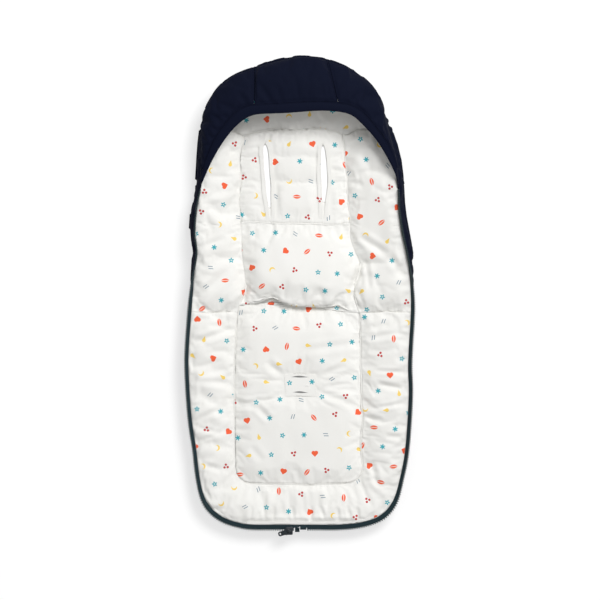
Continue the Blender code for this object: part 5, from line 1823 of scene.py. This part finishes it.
@dataclass
class Zip:
    """Half of the zip round the body: tapes, moulded teeth, box, pin, stops, slider, pull."""

    maker: Maker
    tape_far: float = 0.0055
    tooth_middle: float = 0.0056
    pitch: float = 0.0046
    gap: float = 0.0006
    box_length: float = 0.0094
    pin_length: float = 0.0130
    stop_length: float = 0.0040
    top_share: float = 0.452
    bead: float = 0.0009
    edge_seam: float = 0.0010
    edge_reach: float = 0.0016
    edge_drop: float = 0.0005
    pin_middle: float = -0.4821
    pin_ridge: float = 0.0018
    core: float = 0.0012
    core_reaches: Point = (0.0070, 0.0085)
    pull_hinge: Point = (-0.0218, -0.4875)
    pull_along: Point = (-0.951, -0.309)
    pull_spread: float = 0.55
    seam_reach: float = 0.0017

    def build(self) -> None:
        """Make both sides, then the hard pieces at the ends."""
        make, rim = self.maker, self.maker.rim
        top = self.top_share * rim.half_length
        runs = {"left": (rim.left(top), rim.foot - self.gap, self.stop_length + self.gap,
                         self.box_length + 2 * self.gap),
                "right": (rim.foot + self.gap, rim.right(top), self.pin_length + 2 * self.gap,
                          self.stop_length + self.gap)}
        for side, (start, end, lead, trail) in runs.items():
            self.tape(side, start, end)
            self.teeth(side, start + lead, end - trail)
        self.ends()
        walks = np.arange(rim.left(top), rim.right(top), 0.005)
        seam = line_tube("side_wall_edge_seam", [self.under_tape(walk) for walk in walks],
                         self.edge_seam, 1)
        make.finish(seam, make.finishes.navy, Slot.NAVY, None)
        for name, node, body in (("slider_metal_body", "slider_body", Body.SLIDER),
                                 ("pull_metal", "pull_tab", Body.PULL)):
            item = round_edges(plain_copy(make.nodes[node], name), 0.00022)
            if body is Body.PULL:
                self.spread_pull(item)
            dress(item, make.finishes.metal)
            make.place_piece(item, [node], body)

    def spread_pull(self, item: bpy.types.Object) -> None:
        """Widen the pull's grip away from its hinge."""
        rows = places(item)
        along = np.array(self.pull_along)
        across = np.array((-along[1], along[0]))
        out = (rows[:, :2] - self.pull_hinge) @ along
        aside = (rows[:, :2] - self.pull_hinge) @ across
        wider = aside * self.pull_spread * smooth_step(out / 0.008)
        rows[:, :2] += wider[:, None] * across
        put_places(item, rows)

    def under_tape(self, walk: float) -> Vector:
        """A point on the side wall's upper edge, under the tape."""
        rim = self.maker.rim
        plan = rim.point(walk) + rim.outward(walk) * self.edge_reach
        return Vector((*plan, rim.height(plan[1]) - self.edge_drop))

    def tape(self, side: str, start: float, end: float) -> None:
        """The woven tape with the cord in its edge, and the row of stitches that holds it."""
        make, rim = self.maker, self.maker.rim
        names = [f"zip_tape_{side}_lower", f"zip_tape_{side}_upper"]
        flat = copied(make.node_list(names), "flat")
        crease_edges(flat)
        subdivide(flat, 1)
        walks = np.arange(start, end, 0.004)
        edge = line_tube("edge", [rim.on_tape(walk, self.tape_far, 0.0) for walk in walks],
                         self.bead, 2)
        item = joined([flat, edge], f"zip_tape_{side}")
        smooth_by_angle(item)
        make.finish(item, make.finishes.tape, Slot.TAPE, None, names)
        lift = rim.tape_thickness / 2 + 0.0001
        sewn = stitch_row(f"zip_stitches_{side}",
                          [rim.on_tape(walk, self.seam_reach, lift) for walk in walks],
                          [rim.on_tape(walk, self.seam_reach, lift + 0.01)
                           - rim.on_tape(walk, self.seam_reach, lift) for walk in walks],
                          0.0024, 0.0011, 0.00032)
        make.finish(sewn, make.finishes.navy_thread, Slot.TAPE, None)

    def tooth(self) -> bpy.types.Object:
        """One moulded tooth: a foot round the tape's edge, a neck and a wider head."""
        deselect()
        bpy.ops.mesh.primitive_cube_add(size=1.0)
        item = bpy.context.object
        with editing():
            bpy.ops.transform.resize(value=(0.0031, 0.0030, 0.0028))
        select_faces(item, lambda face: face.normal.y > 0.9)
        for step, wide, deep in ((0.0004, 0.62, 0.82), (0.0013, 1.0, 1.0), (0.0005, 1.36, 1.15),
                                 (0.0022, 1.0, 1.0), (0.0009, 0.60, 0.80)):
            bpy.ops.mesh.extrude_region_move(TRANSFORM_OT_translate={"value": (0.0, step, 0.0)})
            bpy.ops.transform.resize(value=(wide, 1.0, deep))
        bpy.ops.object.mode_set(mode="OBJECT")
        return item

    def teeth(self, side: str, start: float, end: float) -> None:
        """The row of teeth along one side."""
        make, rim = self.maker, self.maker.rim
        count = round((end - start) / self.pitch)
        walks = start + (np.arange(count) + 0.5) * (end - start) / count
        names = [f"zip_teeth_{side}_lower", f"zip_teeth_{side}_upper"]
        row = repeat(self.tooth(), [rim.frame_at(walk, self.tooth_middle, 0.0)
                                    for walk in walks], "row")
        cores = [line_tube("core", [rim.on_tape(walk, reach, 0.0)
                                    for walk in np.arange(start, end, 0.005)], self.core, 1)
                 for reach in self.core_reaches]
        item = joined([row, *cores], f"zip_teeth_{side}")
        smooth_by_angle(item, HARD_EDGE)
        dress(item, make.finishes.plastic)
        make.place_piece(item, names, None)

    def ends(self) -> None:
        """The box with its sunk top, the pin and the two top stops."""
        make = self.maker
        box = plain_copy(make.nodes["zip_box"], "zip_box_moulding")
        select_faces(box, lambda face: face.normal.z > 0.9)
        bpy.ops.mesh.inset(thickness=0.0013)
        bpy.ops.mesh.extrude_region_move(TRANSFORM_OT_translate={"value": (0.0, 0.0, -0.0006)})
        bpy.ops.object.mode_set(mode="OBJECT")
        round_edges(box, 0.0003)
        pin = round_edges(plain_copy(make.nodes["zip_pin"], "zip_pin_moulding"), 0.0005, 3)
        rows = places(pin)
        rows[rows[:, 1] < self.pin_middle, 1] -= self.pin_ridge
        put_places(pin, rows)
        pieces = [(box, "zip_box", Body.SEAT), (pin, "zip_pin", Body.SEAT)]
        for side in ("left", "right"):
            node = f"zip_top_stop_{side}"
            stop = plain_copy(make.nodes[node], node + "_moulding")
            pieces.append((round_edges(stop, 0.0006, 3), node, Body.BACKREST))
        for item, node, body in pieces:
            dress(item, make.finishes.plastic)
            make.place_piece(item, [node], body)


@dataclass
class Studio:
    """Pale floor, soft light from the upper right and a camera straight above."""

    camera_height: float = 9.5
    frame_width: float = 1.248
    aim: Point = (0.0004, -0.0073)
    pad_level: float = 0.035
    floor_size: float = 12.0
    key_power: float = 190.0
    key_size: float = 2.0
    key_place: tuple[float, float, float] = (1.70, 2.50, 4.20)
    world_strength: float = 0.465
    floor_glow: float = 0.64
    # Glow of the floor under the crotch slits, a painted shade.
    painted_slit_shade: float = 0.20

    def build(self) -> None:
        """Set the camera, the lights and the floor."""
        self.camera()
        self.floor()
        self.key()
        self.world()
        bpy.context.scene.view_settings.view_transform = "Standard"

    def camera(self) -> None:
        """A camera that looks straight down."""
        camera = bpy.data.cameras.new("camera")
        item = linked("camera", camera)
        item.location = (*self.aim, self.camera_height)
        reach = self.camera_height - self.pad_level
        camera.angle = 2.0 * math.atan(self.frame_width / 2.0 / reach)
        bpy.context.scene.camera = item

    def floor(self) -> None:
        """A white floor that keeps the shadow and shows white behind the object; under the
        harness slots it glows full white as painted light, and under the crotch slits its glow is
        dimmed as painted shade.
        """
        deselect()
        bpy.ops.mesh.primitive_plane_add(size=self.floor_size, location=(0.0, 0.0, -0.0005))
        item = bpy.context.object
        item.name = "floor"
        shader = Shader("white_floor")
        shader.dress((0.42, 0.42, 0.42), 0.9, Specular_IOR_Level=0.0)
        rays = shader.nodes.new("ShaderNodeLightPath")
        shown = Expr(shader, rays.outputs["Is Camera Ray"]).most(
            Expr(shader, rays.outputs["Is Glossy Ray"]))
        across, along, _ = shader.split(shader.place())
        # Painted light: under the harness slots the floor glows full white, though it lies in the
        # object's shadow.
        under = ((across + 0.008).magnitude() < 0.11) * ((along - 0.237).magnitude() < 0.10)
        # Painted shade: under the crotch slits the floor's glow is dimmed to a dark grey.
        slits = ((across.magnitude() < 0.05) * ((along + 0.185).magnitude() < 0.03)
                 * (1.0 - under))
        glow_with_painted_slot_light_and_shade = shader.mix(under, (self.floor_glow,) * 3, (1.0, 1.0, 1.0))
        glow_with_painted_slot_light_and_shade = shader.mix(slits, glow_with_painted_slot_light_and_shade, (self.painted_slit_shade,) * 3)
        shader.put(shader.surface.inputs["Emission Color"], glow_with_painted_slot_light_and_shade)
        shader.put(shader.surface.inputs["Emission Strength"], shown)
        item.data.materials.append(shader.material)
        item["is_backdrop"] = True

    def key(self) -> None:
        """A soft lamp from the upper right."""
        lamp = bpy.data.lights.new("key", "AREA")
        lamp.shape, lamp.size, lamp.energy = "SQUARE", self.key_size, self.key_power
        item = linked("key", lamp)
        item.location = self.key_place
        item.rotation_euler = (-item.location).to_track_quat("-Z", "Y").to_euler()

    def world(self) -> None:
        """Even light from all round, seen as white."""
        world = bpy.data.worlds.new("studio")
        world.use_nodes = True
        bpy.context.scene.world = world
        nodes, links = world.node_tree.nodes, world.node_tree.links
        rays = nodes.new("ShaderNodeLightPath")
        strength = nodes.new("ShaderNodeMapRange")
        strength.inputs["To Min"].default_value = self.world_strength
        strength.inputs["To Max"].default_value = 1.0
        links.new(rays.outputs["Is Camera Ray"], strength.inputs["Value"])
        links.new(strength.outputs[0], nodes["Background"].inputs["Strength"])
        nodes["Background"].inputs["Color"].default_value = (1.0, 1.0, 1.0, 1.0)


def report_size(name: str, corners: tuple[Vector, Vector]) -> list[list[float]]:
    """Log a box and give it as plain lists."""
    low, high = corners
    LOG.info("%s box: %s to %s", name, tuple(round(v, 4) for v in low),
             tuple(round(v, 4) for v in high))
    return [list(low), list(high)]


def main() -> None:
    """Build every sub-assembly round the frame."""
    logging.basicConfig(level=logging.INFO, format="%(message)s")
    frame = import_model()
    sizes = {"cad": report_size("frame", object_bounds())}
    rim = RimLine()
    maker = Maker(frame["nodes"], Finishes(), rim, Hip(), ClothLay(rim))
    Studio().build()
    for part in (Shell(maker), Liner(maker), Slots(maker), Zip(maker), Hood(maker)):
        part.build()
        LOG.info("%s is in place", type(part).__name__)
    sizes["visual"] = report_size("dressed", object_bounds())


if __name__ == "__main__":
    main()
